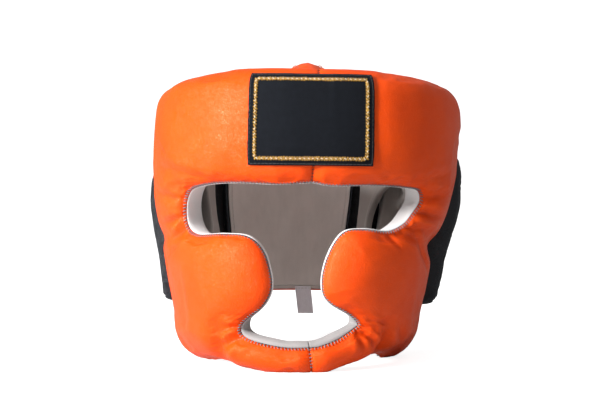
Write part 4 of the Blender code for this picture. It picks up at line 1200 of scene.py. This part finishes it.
def make_seam_stitching(sizes):
    """Whip stitches over the opening's edge, and ladder stitches up the two middle seams."""
    stitch = thread_stitch(*OPENING_STITCH)
    places = []
    for side in STATIONS:
        where = even_places(side, 1500)
        seam = line_at(seam_rows(side), where)
        length = run_along(seam)
        at = np.interp(middles(int(length[-1] / OPENING_PITCH)) * length[-1], length, range(len(where)))
        seam = read_at(at, range(len(where)), seam)
        along = np.gradient(seam, axis=0)
        along /= np.linalg.norm(along, axis=-1, keepdims=True)
        inwards = into_opening(seam, side)
        outer = seam - 0.0006 * inwards + 0.0004 * along
        inner = seam + 0.0010 * inwards - 0.0004 * along
        rise = SEAM_HEIGHT + (PAD_THICKNESS - SEAM_HEIGHT) * rounded_rise(0.0006, INNER_ROUNDING)
        a = over_form(outer, rise + 0.0004)
        b = over_form(inner, SEAM_HEIGHT + 0.0004)
        c = over_form(seam, SEAM_HEIGHT + 0.010)
        for p, q, r in zip(a, b, c):
            places.append(((p + q) / 2, q - p, r - (p + q) / 2))
    stitching("opening_stitches", stitch, places, "seam_thread", seed=5)
    ladder = thread_stitch(*LADDER_STITCH)
    for name, start, finish in (("brow_seam_stitches", 0, "brow_thread"), ("chin_seam_stitches", 2, "seam_thread")):
        ends = LINES[2][start:start + 2]
        length = np.linalg.norm(ends[1] - ends[0])
        share = middles(int(length / LADDER_PITCH))
        flat = ends[0] + share[:, None] * (ends[1] - ends[0])
        level = pad_offset(flat, 0.92 if start else 1.0) - 0.0006
        middle = over_form(flat, level)
        out = over_form(flat, level + 0.01) - middle
        normal = middle_planes()[start // 2][1]
        keep = middle[:, 2] > 0.002
        places = [(m, normal, o) for m, o in zip(middle[keep], out[keep])]
        stitching(name, ladder, places, finish, seed=9)


def rear_lean(angle, height, lean):
    share = eased((angle - EAR_LEAN_START) / EAR_LEAN_LENGTH)
    middle = PANEL_FOOT + REAR_HEIGHT / 2
    return angle + share * math.radians(lean) * (height - middle) / (0.1 * GUARD_HEIGHT)


def ear_columns(side):
    """Columns of an ear's outline: angles, feet and tops, kept clear of the front pad's edge."""
    edge = line_at(edge_rows(side), np.linspace(0, len(STATIONS[side]) - 1, 140))
    along, up = np.abs(edge[:, 0]), edge[:, 1]
    end = along.argmax()
    start = end + np.argmax(along[end:] <= FLAT_RADIUS * REAR_EDGE_ANGLE)
    under = np.stack([along[end:start + 1], up[end:start + 1]], -1)[::-1]
    under = np.maximum.accumulate(under, axis=0)
    length = run_along(under)
    under = read_at(np.linspace(0, length[-1], 11), length, under)
    behind = np.linspace(under[-1, 0] + 1.5 * EAR_CLEARANCE, FLAT_RADIUS * EAR_REAR_ANGLE, 7)
    angles = np.concatenate([under[:, 0] + EAR_CLEARANCE, behind]) / FLAT_RADIUS
    across = (angles - angles[0]) / (angles[-1] - angles[0])
    foot = PANEL_FOOT + REAR_HEIGHT * from_table(EAR_PANEL_OUTLINE, 1, across)
    top = PANEL_FOOT + REAR_HEIGHT * from_table(EAR_PANEL_OUTLINE, 2, across)
    top[:len(under)] = np.minimum(top[:len(under)], under[:, 1] - EAR_CLEARANCE)
    return angles, foot, top


def ear_outline(angles, foot, top):
    """The ear's outline on the flattened form, evenly stepped once round."""
    low = np.stack([FLAT_RADIUS * angles, foot], -1)
    high = np.stack([FLAT_RADIUS * angles, top], -1)[::-1]
    line = np.concatenate([low, high, low[:1]])
    length = run_along(line)
    line = read_at(np.linspace(0, length[-1], 241)[:-1], length, line)
    for _ in range(3):
        line = 0.5 * line + 0.25 * (np.roll(line, 1, axis=0) + np.roll(line, -1, axis=0))
    return line


def cup_rise(flat, outline, depth):
    """How far inside an ear's outline flat places are, how far round it, and how high the cup rises."""
    inside, round_it = nearest(flat, np.vstack([outline, outline[:1]]))
    flare = EAR_FLARE * (1 - (flat[..., 1] - PANEL_FOOT) / REAR_HEIGHT) ** 2
    return inside, round_it, (depth * EAR_CUP_DEPTH + flare) * rounded_rise(inside, EAR_CUP_ROUNDING)


def cover_thickness(inside):
    return EAR_PANEL_THICKNESS * (0.35 + 0.65 * rounded_rise(inside, EAR_PANEL_THICKNESS))


def pocket_suede(outline, depth, lean, hole, centre):
    """Loose suede inside the wearer's left ear pocket, hanging in folds behind the frame's hole."""
    across, up = np.meshgrid(np.linspace(-1, 1, 90), np.linspace(-1, 1, 70), indexing="ij")
    flat = np.stack([across, up], -1) * POCKET_SUEDE_SHARE * hole + centre
    room = cup_rise(flat, outline, depth)[2]
    folds = 0.5 + 0.5 * ripple(flat[..., 0] + 0.10 * flat[..., 1] + 1, 0.0042, 151)
    level = EAR_FRAME_THICKNESS + 0.0006 + np.maximum(0, room - 0.0030) * (0.25 + 0.45 * folds)
    angle = rear_lean(flat[..., 0] / FLAT_RADIUS, flat[..., 1], lean)
    cut = flat - flat[0, 0]
    inner = place(angle, flat[..., 1], level)
    outer = place(angle, flat[..., 1], level + POCKET_SUEDE_THICKNESS)
    sheet = two_faced("ear_pocket_suede_left", inner, outer, "ear_suede", cut)


def make_ears(sizes):
    piping = thread_stitch(*PIPING_STITCH)
    for side, (middle, up, half_width, half_height, depth, lean) in EARS.items():
        sign = -1 if side == "right" else 1
        angles, foot, top = ear_columns(side)
        outline = ear_outline(angles, foot, top)
        centre = np.array([FLAT_RADIUS * math.radians(middle), PANEL_FOOT + up * REAR_HEIGHT])
        hole = np.array([FLAT_RADIUS * math.radians(half_width), half_height * REAR_HEIGHT])
        rows = np.linspace(0, len(FRAME_PROFILE), 48, endpoint=False)
        profile = np.array(FRAME_PROFILE + FRAME_PROFILE[:1])
        share, thick = (np.interp(rows, range(len(profile)), profile[:, k]) for k in range(2))
        ray = outline - centre
        ray /= np.linalg.norm(ray, axis=1, keepdims=True)
        start = centre + ray / np.linalg.norm(ray / hole, axis=1, keepdims=True)
        flat = start[:, None] + share[None, :, None] * (outline - start)[:, None]
        turned = np.arctan2(ray[:, 1], ray[:, 0])
        soft = 1 - 0.10 * (1 + ripple(turned * 0.05 + 1, 0.011, 41)) * 0.5
        puffed = thick[None] - 0.5
        level = EAR_FRAME_THICKNESS * (0.5 + puffed * soft[:, None])
        angle = rear_lean(flat[..., 0] / FLAT_RADIUS, flat[..., 1], lean)
        sections = place(sign * angle, flat[..., 1], level)
        run = np.repeat(np.arange(len(outline))[:, None] * 0.0022, 48, 1)
        cut = np.stack([run, np.repeat(np.linspace(0, 0.06, 48)[None], len(outline), 0)], -1)
        pad = lofted(f"ear_pad_{side}", sections, "ear_suede", cut, closed=True)
        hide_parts(f"ear_frame_{side}")

        columns, height_rows = 110, 96
        where = np.linspace(0, len(angles) - 1, columns)
        angle = np.repeat(np.interp(where, range(len(angles)), angles)[:, None], height_rows, 1)
        low, high = (np.interp(where, range(len(angles)), line)[:, None] for line in (foot, top))
        height = low + spread(0, 1, height_rows) * (high - low)
        flat = np.stack([FLAT_RADIUS * angle, height], -1)
        inside, round_it, bulge = cup_rise(flat, outline, depth)
        groove = np.exp(-(((inside - 0.0085) / 0.0013) ** 2))
        crumple = 0.0005 * patches(flat[..., 0] * 1.6 + 3, height * 0.8, 0.014, 43 + sign)
        crumple += 0.00022 * patches(flat[..., 0] * 2.2 + 3, height, 0.006, 47 + sign)
        crumple += 0.0007 * ripple(round_it, 0.0065, 53) * np.exp(-((inside - 0.004) / 0.007) ** 2)
        held = rounded_rise(inside, 0.006)
        seat = EAR_FRAME_THICKNESS + PIECE_GAP + bulge
        turned = sign * rear_lean(angle, height, lean)
        inner = place(turned, height, seat + 0.5 * np.maximum(0, crumple) * held)
        outer_level = seat + cover_thickness(inside) + (crumple - 0.0014 * groove) * held
        outer = place(turned, height, np.maximum(outer_level, seat + 0.0012))
        panel = two_faced(f"ear_cover_{side}", inner, outer, "black_hide", np.stack([flat[..., 0], height], -1))
        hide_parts(f"ear_panel_{side}")

        if side == "left":
            pocket_suede(outline, depth, lean, hole, centre)

        inwards = outline.mean(0) - outline
        inwards /= np.linalg.norm(inwards, axis=1, keepdims=True)
        line = outline + 0.0095 * inwards
        line = np.vstack([line, line[:1]])
        length = run_along(line)
        steps = middles(int(length[-1] / PIPING_PITCH)) * length[-1]
        dots = read_at(steps, length, line)
        ahead = read_at((steps + 0.001) % length[-1], length, line)

        def on_cover(spots, lift):
            away, _, rise = cup_rise(spots, outline, depth)
            level = EAR_FRAME_THICKNESS + PIECE_GAP + rise + cover_thickness(away) - 0.0008 + lift
            return place(sign * rear_lean(spots[:, 0] / FLAT_RADIUS, spots[:, 1], lean), spots[:, 1], level)

        places = sewn_along(on_cover, dots, ahead)
        stitching(f"ear_cover_stitches_{side}", piping, places, "black_thread", seed=61)


def make_back(sizes):
    low, high, foot, top = back_edges()
    angle, height = np.meshgrid(spread(low, high, 84), spread(foot, top, 108), indexing="ij")
    aside = FLAT_RADIUS * np.minimum(angle - low, high - angle)
    above = np.minimum(height - foot, top - height)
    rise = rounded_rise(aside, BACK_ROUNDING) * rounded_rise(above, BACK_ROUNDING)
    base = LINING_THICKNESS + PIECE_GAP
    edge = np.minimum(aside, above)
    uneven = 0.0006 * ripple(height + angle * 0.1, 0.008, 67) * np.exp(-((edge / 0.012) ** 2))
    coarse, fine = (1 + patches(angle * 0.1, height, step, seed) for step, seed in ((0.016, 71), (0.007, 73)))
    uneven -= 0.0004 * coarse + 0.0006 * fine * 0.3
    swell = BACK_EDGE_THICKNESS + (BACK_PAD_THICKNESS - BACK_EDGE_THICKNESS) * rise + uneven * rise
    inner = place(angle, height, base)
    cut = np.stack([FLAT_RADIUS * angle, height], -1)
    pad = two_faced("back_cushion", inner, place(angle, height, base + swell), "orange_hide", cut)
    # Black leather on the cushion's side walls: partly its gussets, partly painted shade standing in for the deep
    # shade on those walls
    pad.data.materials.append(bpy.data.materials["black_hide"])
    ends = FLAT_RADIUS * low, FLAT_RADIUS * high
    for face in pad.data.polygons:
        along = [pad.data.uv_layers["cut"].data[k].uv[0] for k in face.loop_indices]
        if any(all(abs(u - end) < 0.0036 for u in along) for end in ends):
            face.material_index = 1
    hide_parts("back_pad")

    inset = BACK_LINING_INSET
    side = inset / FLAT_RADIUS
    angle, height = np.meshgrid(
        spread(low + side, high - side, 70), spread(foot + inset, top - inset, 100), indexing="ij"
    )
    aside = FLAT_RADIUS * np.minimum(angle - low, high - angle)
    edge = np.minimum(aside, np.minimum(height - foot, top - height)) - inset
    soft = 0.0007 * (1 + patches(angle * 0.1, height, 0.020, 79)) * rounded_rise(edge, 0.010)
    level = 0.0007 * np.exp(-((edge / 0.002) ** 2)) + soft * 0.6
    inner = place(angle, height, np.minimum(level, LINING_THICKNESS - 0.0008))
    outer = place(angle, height, LINING_THICKNESS)
    lining = two_faced("back_suede", inner, outer, "pale_suede", np.stack([FLAT_RADIUS * angle, height], -1))
    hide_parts("back_lining")

    stitch = thread_stitch(*LINING_STITCH)
    line = []
    margin = inset + 0.0028
    corners = [(low * FLAT_RADIUS + margin, foot + margin), (high * FLAT_RADIUS - margin, foot + margin),
               (high * FLAT_RADIUS - margin, top - margin), (low * FLAT_RADIUS + margin, top - margin)]
    for a, b in zip(corners, corners[1:] + corners[:1]):
        a, b = np.array(a), np.array(b)
        line += [(a + share * (b - a), b - a) for share in middles(int(np.linalg.norm(b - a) / LINING_PITCH))]
    flat = np.array([p for p, _ in line])
    ahead = flat + np.array([d / np.linalg.norm(d) for _, d in line]) * 0.001
    places = sewn_along(over_form, flat, ahead, lift=-0.01)
    stitching("back_lining_stitches", stitch, places, "pale_thread", seed=83)


def make_closure(sizes):
    stitch = thread_stitch(*CLOSURE_STITCH)
    for layer, side in enumerate(("right", "left")):
        sign = -1 if side == "right" else 1
        low = 2 * math.pi - back_edges()[1] if side == "right" else back_edges()[0]
        start, end = EAR_REAR_ANGLE + PIECE_GAP / FLAT_RADIUS, math.pi + STRAP_OVERLAP / FLAT_RADIUS
        foot, top = STRAP_MIDDLE - STRAP_HEIGHT / 2, STRAP_MIDDLE + STRAP_HEIGHT / 2
        lean = EARS[side][-1]

        def laid(angle, height, lift):
            sewn = EAR_FRAME_THICKNESS + PIECE_GAP
            flat = LINING_THICKNESS + PIECE_GAP + BACK_PAD_THICKNESS + STRAP_CLEARANCE
            flat += layer * (STRAP_THICKNESS + STRAP_CLEARANCE)
            share = eased((angle - start) / (low - start))
            leant = angle + (1 - share) * (rear_lean(angle, height, lean) - angle)
            return place(sign * leant, height, sewn + (flat - sewn) * share + lift)

        angle, height = np.meshgrid(np.linspace(start, end, 90), spread(foot, top, 60), indexing="ij")
        edge = np.minimum(np.minimum(height - foot, top - height), FLAT_RADIUS * (end - angle))
        bound = np.exp(-((np.maximum(0, edge - 0.0006) / 0.0035) ** 4))
        waved = 0.00025 * patches(angle * 0.1, height, 0.011, 89 + layer)
        lift = 0.30 * STRAP_THICKNESS * (1 - rounded_rise(edge, 0.0012))
        inner = laid(angle, height, lift)
        outer = laid(angle, height, STRAP_THICKNESS * (0.80 + 0.20 * bound) - lift + waved * (1 - bound))
        cut = np.stack([FLAT_RADIUS * angle, height], -1)
        strap = two_faced(f"closure_{side}", inner, outer, "black_tape", cut)
        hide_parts(f"closure_strap_{side}")

        def on_strap(spots, lift):
            return laid(spots[:, 0], spots[:, 1], STRAP_THICKNESS * 0.86 + lift)

        places = []
        near, far, across = start + CLOSURE_END_MARGIN, end - CLOSURE_END_MARGIN, start + CLOSURE_CROSS_ROW
        low_row, high_row = foot + CLOSURE_SIDE_MARGIN, top - CLOSURE_SIDE_MARGIN
        rows = [((near, low_row), (far, low_row)), ((far, low_row), (far, high_row)),
                ((far, high_row), (near, high_row)), ((near, high_row), (near, low_row)),
                ((across, low_row), (across, high_row))]
        for a, b in rows:
            length = math.hypot((b[0] - a[0]) * CLOSURE_RADIUS, b[1] - a[1])
            share = middles(int(length / CLOSURE_PITCH))[:, None]
            spots, ahead = (np.array(a) + along * (np.array(b) - a) for along in (share, share + 0.01))
            places += sewn_along(on_strap, spots, ahead)
        stitching(f"closure_stitches_{side}", stitch, places, "black_thread", seed=97)


def form_depth(across, height, reach):
    half_width = form_reaches(height)[0]
    lean = LEAN_ACROSS * (height / GUARD_HEIGHT - 0.5)
    share = np.clip(np.abs(across - lean) / half_width, 0, 0.999)
    return reach * (1 - share**SQUARENESS) ** (1 / SQUARENESS)


def strap_seat(across, height, front):
    aside = across + np.linspace(-0.5, 0.5, 9) * CROWN_STRAP_WIDTH
    reach = form_reaches(height)[1 if front else 2]
    depth = form_depth(aside, height, reach).min() - PIECE_GAP
    return np.array([across, -depth if front else depth, height])


def make_crown_strap(sizes):
    brow_top, back_top = GUARD_HEIGHT - LINING_INSET, back_edges()[3] - LINING_INSET
    brow_x = form_point(0.0, brow_top)[0]
    back_x = form_point(math.pi, back_top)[0] + CROWN_STRAP_SHIFT
    start = [strap_seat(brow_x, brow_top - CROWN_SEWN_LENGTH, True), strap_seat(brow_x, brow_top, True)]
    end = [strap_seat(back_x, back_top, False), strap_seat(back_x, back_top - CROWN_SEWN_LENGTH, False)]
    rows = list(start)
    for share, rise in CROWN_ARCH:
        point = start[1] + share * (end[0] - start[1])
        point[2] += rise * (GUARD_HEIGHT + CROWN_RISE - point[2])
        rows.append(point)
    rows = np.array(rows + end)
    where = np.linspace(0, len(rows) - 1, 150)
    line = np.stack([curve_through(rows[:, k], where) for k in range(3)], -1)
    line[:, 1] = np.clip(line[:, 1], start[1][1], end[0][1])
    along = np.gradient(line, axis=0)
    along /= np.linalg.norm(along, axis=-1, keepdims=True)
    inwards = np.cross(np.array([1.0, 0, 0]), along)
    inwards *= np.sign(inwards[len(line) // 2, 2]) * -1
    inwards /= np.linalg.norm(inwards, axis=-1, keepdims=True)
    half, deep = CROWN_STRAP_WIDTH / 2, CROWN_STRAP_THICKNESS
    turn = np.linspace(0, 2 * math.pi, 56, endpoint=False)
    a = np.sign(np.cos(turn)) * np.abs(np.cos(turn)) ** 0.42
    b = 0.5 + 0.5 * np.sign(np.sin(turn)) * np.abs(np.sin(turn)) ** 0.42
    groove = 0.16 * np.exp(-(((np.abs(a) - 0.74) / 0.06) ** 2))
    b = b + np.where(b < 0.5, groove, -groove)
    b = b - np.where(b < 0.5, 0.42 * np.exp(-(((a + 0.12) / 0.42) ** 2)) - 0.42 * np.abs(a) ** 2.5, 0.0)
    run = run_along(line)
    puff = 1 - 0.05 * (1 + ripple(run, 0.009, 101))
    across = np.array([1.0, 0, 0])
    sections = (
        line[:, None] + a[None, :, None] * half * across
        + ((b - 0.5)[None, :, None] * puff[:, None, None] + 0.5) * deep * inwards[:, None]
    )
    cut = np.stack([np.repeat(run[:, None], 56, 1), np.repeat((a * half)[None], 150, 0)], -1)
    strap = lofted("crown_band", sections + CENTRING, "orange_hide", cut)
    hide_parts("crown_strap")
    stitch = thread_stitch(*CROWN_STITCH)
    places = []
    for aside in (-0.74, 0.74):
        at_run = middles(int(run[-1] / CROWN_PITCH)) * run[-1]
        middle, out, way = read_at(at_run, run, line), -read_at(at_run, run, inwards), read_at(at_run, run, along)
        middle = middle + aside * half * across + out * -0.0006 + CENTRING
        keep = np.abs(out[:, 2]) > 0.35
        places += [(m, w, o) for m, w, o, k in zip(middle, way, out, keep) if k]
    stitching("crown_band_stitches", stitch, places, "orange_thread", seed=103)


def badge_place(aside, height, above):
    """A point above the badge's seat on the brow."""
    foot = GUARD_HEIGHT - BADGE_BELOW_TOP - BADGE_HEIGHT
    turned = aside + BADGE_OFF_CENTRE - (height - foot) * math.tan(BADGE_TILT)
    angle = angle_across(turned, height, PAD_THICKNESS)
    flat = np.stack([FLAT_RADIUS * angle, height], -1)
    return place(angle, height, pad_offset(flat, 1.0, seam=False) + BADGE_GAP + above)


def badge_pucker(aside, height):
    """How far the badge is drawn in where it crosses the middle seam, and its edges' soft waves."""
    foot = GUARD_HEIGHT - BADGE_BELOW_TOP - BADGE_HEIGHT
    off = aside + BADGE_OFF_CENTRE - 0.003
    drawn = 0.0007 * np.exp(-((off / 0.010) ** 2)) * (0.4 + 0.6 * np.abs(2 * (height - foot) / BADGE_HEIGHT - 1))
    waves = 0.00045 * ripple(aside + 1, 0.0048, 107) * np.exp(-((foot + BADGE_HEIGHT - height) / 0.020))
    waves += 0.00022 * ripple(aside + 1, 0.0060, 109) * np.exp(-((height - foot) / 0.012))
    return waves - drawn


def make_badge(sizes):
    half, top = BADGE_WIDTH / 2, GUARD_HEIGHT - BADGE_BELOW_TOP
    foot = top - BADGE_HEIGHT
    aside, height = np.meshgrid(np.linspace(-half, half, 130), np.linspace(foot, top, 96), indexing="ij")
    edge = np.minimum(half - np.abs(aside), np.minimum(height - foot, top - height))
    turned_in = 0.00025 * np.exp(-((np.maximum(0, edge - 0.0004) / 0.0026) ** 6))
    pucker = badge_pucker(aside, height)
    rough = 0.00012 * ripple(height + 1, 0.0011, 113)
    wavy = np.where(np.abs(np.abs(aside) - half) < 1e-6, rough, 0.0)
    inner = badge_place(aside, height, np.maximum(pucker, -0.0004))
    outer = badge_place(aside + np.sign(aside) * wavy, height, 0.0009 + turned_in + np.maximum(pucker, -0.0004))
    badge = two_faced("brow_badge", inner, outer, "badge_weave", np.stack([aside, height], -1))
    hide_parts("badge")

    strand, glint, hem = thread_stitch(*BRAID_STRAND), thread_stitch(*BRAID_GLINT), thread_stitch(*HEM_STITCH)
    middle = BORDER_INSET + BORDER_WIDTH / 2
    corners = [(-1, 0), (1, 0), (1, 1), (-1, 1)]
    braid, painted_glints, sewn = [], [], []
    for (x, up), (next_x, next_up) in zip(corners, corners[1:] + corners[:1]):
        for kind, margin, pitch, lift, slant in (
            (braid, middle, BRAID_PITCH, 0.0013, 0.78),
            (painted_glints, middle, GLINT_PITCH, 0.00190, -0.5),
            (sewn, 0.0011, HEM_PITCH, 0.0012, 0.0),
        ):
            a = np.array([x * (half - margin), foot + margin + up * (BADGE_HEIGHT - 2 * margin)])
            b = np.array([next_x * (half - margin), foot + margin + next_up * (BADGE_HEIGHT - 2 * margin)])
            length = np.linalg.norm(b - a)
            way = (b - a) / length
            square = np.array([-way[1], way[0]])
            spot = a + middles(int(length / pitch))[:, None] * (b - a)
            lean = math.cos(slant) * way + math.sin(slant) * square
            ahead = spot + 0.001 * lean
            level = lift + np.maximum(badge_pucker(*spot.T), -0.0004)
            kind.extend(sewn_along(lambda flat, lift_by: badge_place(*flat.T, level + lift_by), spot, ahead))
    border = stitching("badge_braid", strand, braid, "gold_braid", seed=127, jitter=0.10)
    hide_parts("badge_border")
    # Painted highlight: small white stitches between the braid's strands stand in for the glints on the gold braid
    shine = stitching("badge_painted_glints", glint, painted_glints, "painted_glint_thread", seed=131, jitter=0.25)
    hemmed = stitching("badge_hem_stitches", hem, sewn, "black_thread", seed=137)


def make_label(sizes):
    top = BACK_FOOT + LABEL_SEWN_LENGTH
    height, across = np.meshgrid(
        np.linspace(top - LABEL_LENGTH, top, 44), np.linspace(-0.5, 0.5, 26) * LABEL_WIDTH, indexing="ij"
    )
    hanging = (top - height) / LABEL_LENGTH
    aside = across - LABEL_OFF_CENTRE + (height - top) * math.tan(LABEL_SLANT)
    angle = math.pi + aside / form_reaches(height)[2]
    edge = LABEL_WIDTH / 2 - np.abs(across)
    curl = 0.0009 * hanging**2 * (across / LABEL_WIDTH * 2) + 0.0005 * np.sin(hanging * 5.0) * hanging
    hem = 0.00012 * np.exp(-((edge / 0.0008) ** 4))
    hem += 0.00018 * np.exp(-(((1 - hanging) * LABEL_LENGTH / 0.0016) ** 4))
    level = np.full(angle.shape, -PIECE_GAP)
    inner = place(angle, height, level - LABEL_THICKNESS * 0.8 - hem - np.abs(curl))
    outer = place(angle, height, level - np.abs(curl) - 0.0001)
    label = two_faced("care_label", inner, outer, "label_weave", np.stack([across, height], -1))
    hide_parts("size_label")
    stitch = thread_stitch(*LABEL_STITCH)
    spots = np.linspace(-0.42, 0.42, 5) * LABEL_WIDTH - LABEL_OFF_CENTRE
    angle = math.pi + spots / form_reaches(top)[2]
    places = sewn_along(lambda at, lift: place(at, top - 0.0016, lift - 0.0012), angle, angle + 0.01, lift=-0.01)
    stitching("care_label_stitches", stitch, places, "pale_thread", seed=139)


# ---------------------------------------------------------------- stage

def lamp(name, place_at, aim, size, power, colour):
    data = bpy.data.lights.new(name, "AREA")
    data.shape = "RECTANGLE"
    data.size, data.size_y = size
    data.energy = power
    data.color = colour
    made = bpy.data.objects.new(name, data)
    bpy.context.scene.collection.objects.link(made)
    made.location = place_at
    made.rotation_euler = (Vector(aim) - Vector(place_at)).to_track_quat("-Z", "Y").to_euler()
    return made


def make_stage(sizes):
    bpy.ops.object.select_all(action="DESELECT")
    bpy.ops.mesh.primitive_plane_add(size=6, location=(0, 0, 0))
    floor = bpy.context.active_object
    floor.name = "studio_floor"
    bpy.ops.object.mode_set(mode="EDIT")
    bpy.ops.mesh.select_mode(type="EDGE")
    bpy.ops.mesh.select_all(action="DESELECT")
    bpy.ops.object.mode_set(mode="OBJECT")
    for edge in floor.data.edges:
        edge.select = all(floor.data.vertices[v].co.y > 2.9 for v in edge.vertices)
    bpy.ops.object.mode_set(mode="EDIT")
    bpy.ops.mesh.extrude_edges_move(TRANSFORM_OT_translate={"value": (0, 0, 4)})
    bpy.ops.mesh.select_all(action="DESELECT")
    bpy.ops.object.mode_set(mode="OBJECT")
    for edge in floor.data.edges:
        ends = [floor.data.vertices[v].co for v in edge.vertices]
        edge.select = all(abs(end.y - 3) < 0.01 and abs(end.z) < 0.01 for end in ends)
    bpy.ops.object.mode_set(mode="EDIT")
    bpy.ops.mesh.bevel(offset=1.6, segments=24, profile=0.5)
    bpy.ops.object.mode_set(mode="OBJECT")
    bpy.ops.object.shade_smooth()
    paper = bpy.data.materials.new("studio_paper")
    paper.use_nodes = True
    tree = paper.node_tree
    shader = tree.nodes["Principled BSDF"]
    where = add(tree, "TexCoord").outputs["Object"]
    fibre = add(tree, "TexNoise", {"Vector": where, "Scale": 60.0, "Detail": 4.0}).outputs["Fac"]
    paper_white = blended(tree, ranged(tree, fibre, 0.3, 0.7), (0.56, 0.56, 0.56), (0.54, 0.54, 0.545))
    tree.links.new(paper_white, shader.inputs["Base Color"])
    shader.inputs["Roughness"].default_value = 0.9
    shader.inputs["Emission Color"].default_value = (1, 1, 1, 1)
    seen = add(tree, "LightPath").outputs["Is Camera Ray"]
    tree.links.new(maths(tree, "MULTIPLY", seen, PAPER_GLOW), shader.inputs["Emission Strength"])
    floor.data.materials.clear()
    floor.data.materials.append(paper)

    scene = bpy.context.scene
    scene.view_settings.view_transform = "Standard"
    scene.view_settings.look = "None"
    world = scene.world or bpy.data.worlds.new("studio")
    scene.world = world
    world.use_nodes = True
    sky = world.node_tree.nodes["Background"]
    sky.inputs["Color"].default_value = (1.0, 1.0, 1.0, 1)
    sky.inputs["Strength"].default_value = ROOM_LIGHT
    for settings in LAMPS:
        lamp(*settings)

    camera = bpy.data.objects.new("photo_camera", bpy.data.cameras.new("photo_camera"))
    scene.collection.objects.link(camera)
    camera.location = np.array(CAMERA_PLACE) + CENTRING
    camera.rotation_euler = (math.pi / 2 - CAMERA_DIP, 0, CAMERA_TURN)
    camera.data.lens = CAMERA_LENS
    camera.data.sensor_width = SENSOR_WIDTH
    camera.data.clip_start = 0.05
    scene.camera = camera


# ---------------------------------------------------------------- add-on

class GuardSizes(bpy.types.PropertyGroup):
    """What a maker of this guard would change."""

    leather_colour: bpy.props.FloatVectorProperty(
        name="Leather colour", description="Dye of the outer leather", subtype="COLOR", size=3,
        min=0, max=1, default=(0.84, 0.072, 0.001),
    )
    lining_colour: bpy.props.FloatVectorProperty(
        name="Lining colour", description="Colour of the suede lining and its rolled rim", subtype="COLOR",
        size=3, min=0, max=1, default=(0.66, 0.595, 0.56),
    )
    fill: bpy.props.FloatProperty(
        name="Fill", description="How full the pads are stuffed", subtype="FACTOR", min=0, max=1, default=0.85,
    )


def operator(name, label, words, work):
    """An operator class for one piece or group of like pieces."""
    def execute(self, context):
        work(context.scene.head_guard_sizes)
        return {"FINISHED"}

    return type(
        "HEADGUARD_OT_" + name, (bpy.types.Operator,),
        {"__doc__": words, "bl_idname": "head_guard." + name, "bl_label": label, "execute": execute},
    )


OPERATORS = (
    operator("finishes", "Finishes", "Mixes the leather, suede, cloth and thread finishes", make_finishes),
    operator("stage", "Stage", "Sets up the paper floor, the soft lights and the camera", make_stage),
    operator("front_pads", "Front pads", "Stuffs the brow, cheek and chin leather", make_front_pads),
    operator(
        "front_linings", "Front linings", "Lines the front pads and rolls the opening's rim", make_front_linings
    ),
    operator(
        "seam_stitching", "Seam stitching", "Sews the opening's edge and the two middle seams", make_seam_stitching
    ),
    operator("ears", "Ears", "Builds the ear pads and their leather covers", make_ears),
    operator("back", "Back", "Builds the back cushion and its lining", make_back),
    operator("closure", "Closure", "Lays the two closure straps over the back", make_closure),
    operator("crown_strap", "Crown strap", "Arches the padded strap over the crown", make_crown_strap),
    operator("badge", "Badge", "Sews the bare woven badge and its braid on the brow", make_badge),
    operator("label", "Label", "Hangs the bare woven label at the back lining's foot", make_label),
)


class HEADGUARD_PT_panel(bpy.types.Panel):
    """Lists the pieces in the sidebar."""

    bl_idname = "HEADGUARD_PT_panel"
    bl_label = "Head guard"
    bl_space_type = "VIEW_3D"
    bl_region_type = "UI"
    bl_category = "Head guard"

    def draw(self, context):
        for name in ("leather_colour", "lining_colour", "fill"):
            self.layout.prop(context.scene.head_guard_sizes, name)
        for made in OPERATORS:
            self.layout.operator(made.bl_idname)


CLASSES = (GuardSizes, *OPERATORS, HEADGUARD_PT_panel)


def register():
    for made in CLASSES:
        bpy.utils.register_class(made)
    bpy.types.Scene.head_guard_sizes = bpy.props.PointerProperty(type=GuardSizes)


def unregister():
    del bpy.types.Scene.head_guard_sizes
    for made in reversed(CLASSES):
        bpy.utils.unregister_class(made)


def main():
    register()
    for made in OPERATORS:
        group, name = made.bl_idname.split(".")
        getattr(getattr(bpy.ops, group), name)()


if __name__ == "__main__":
    main()
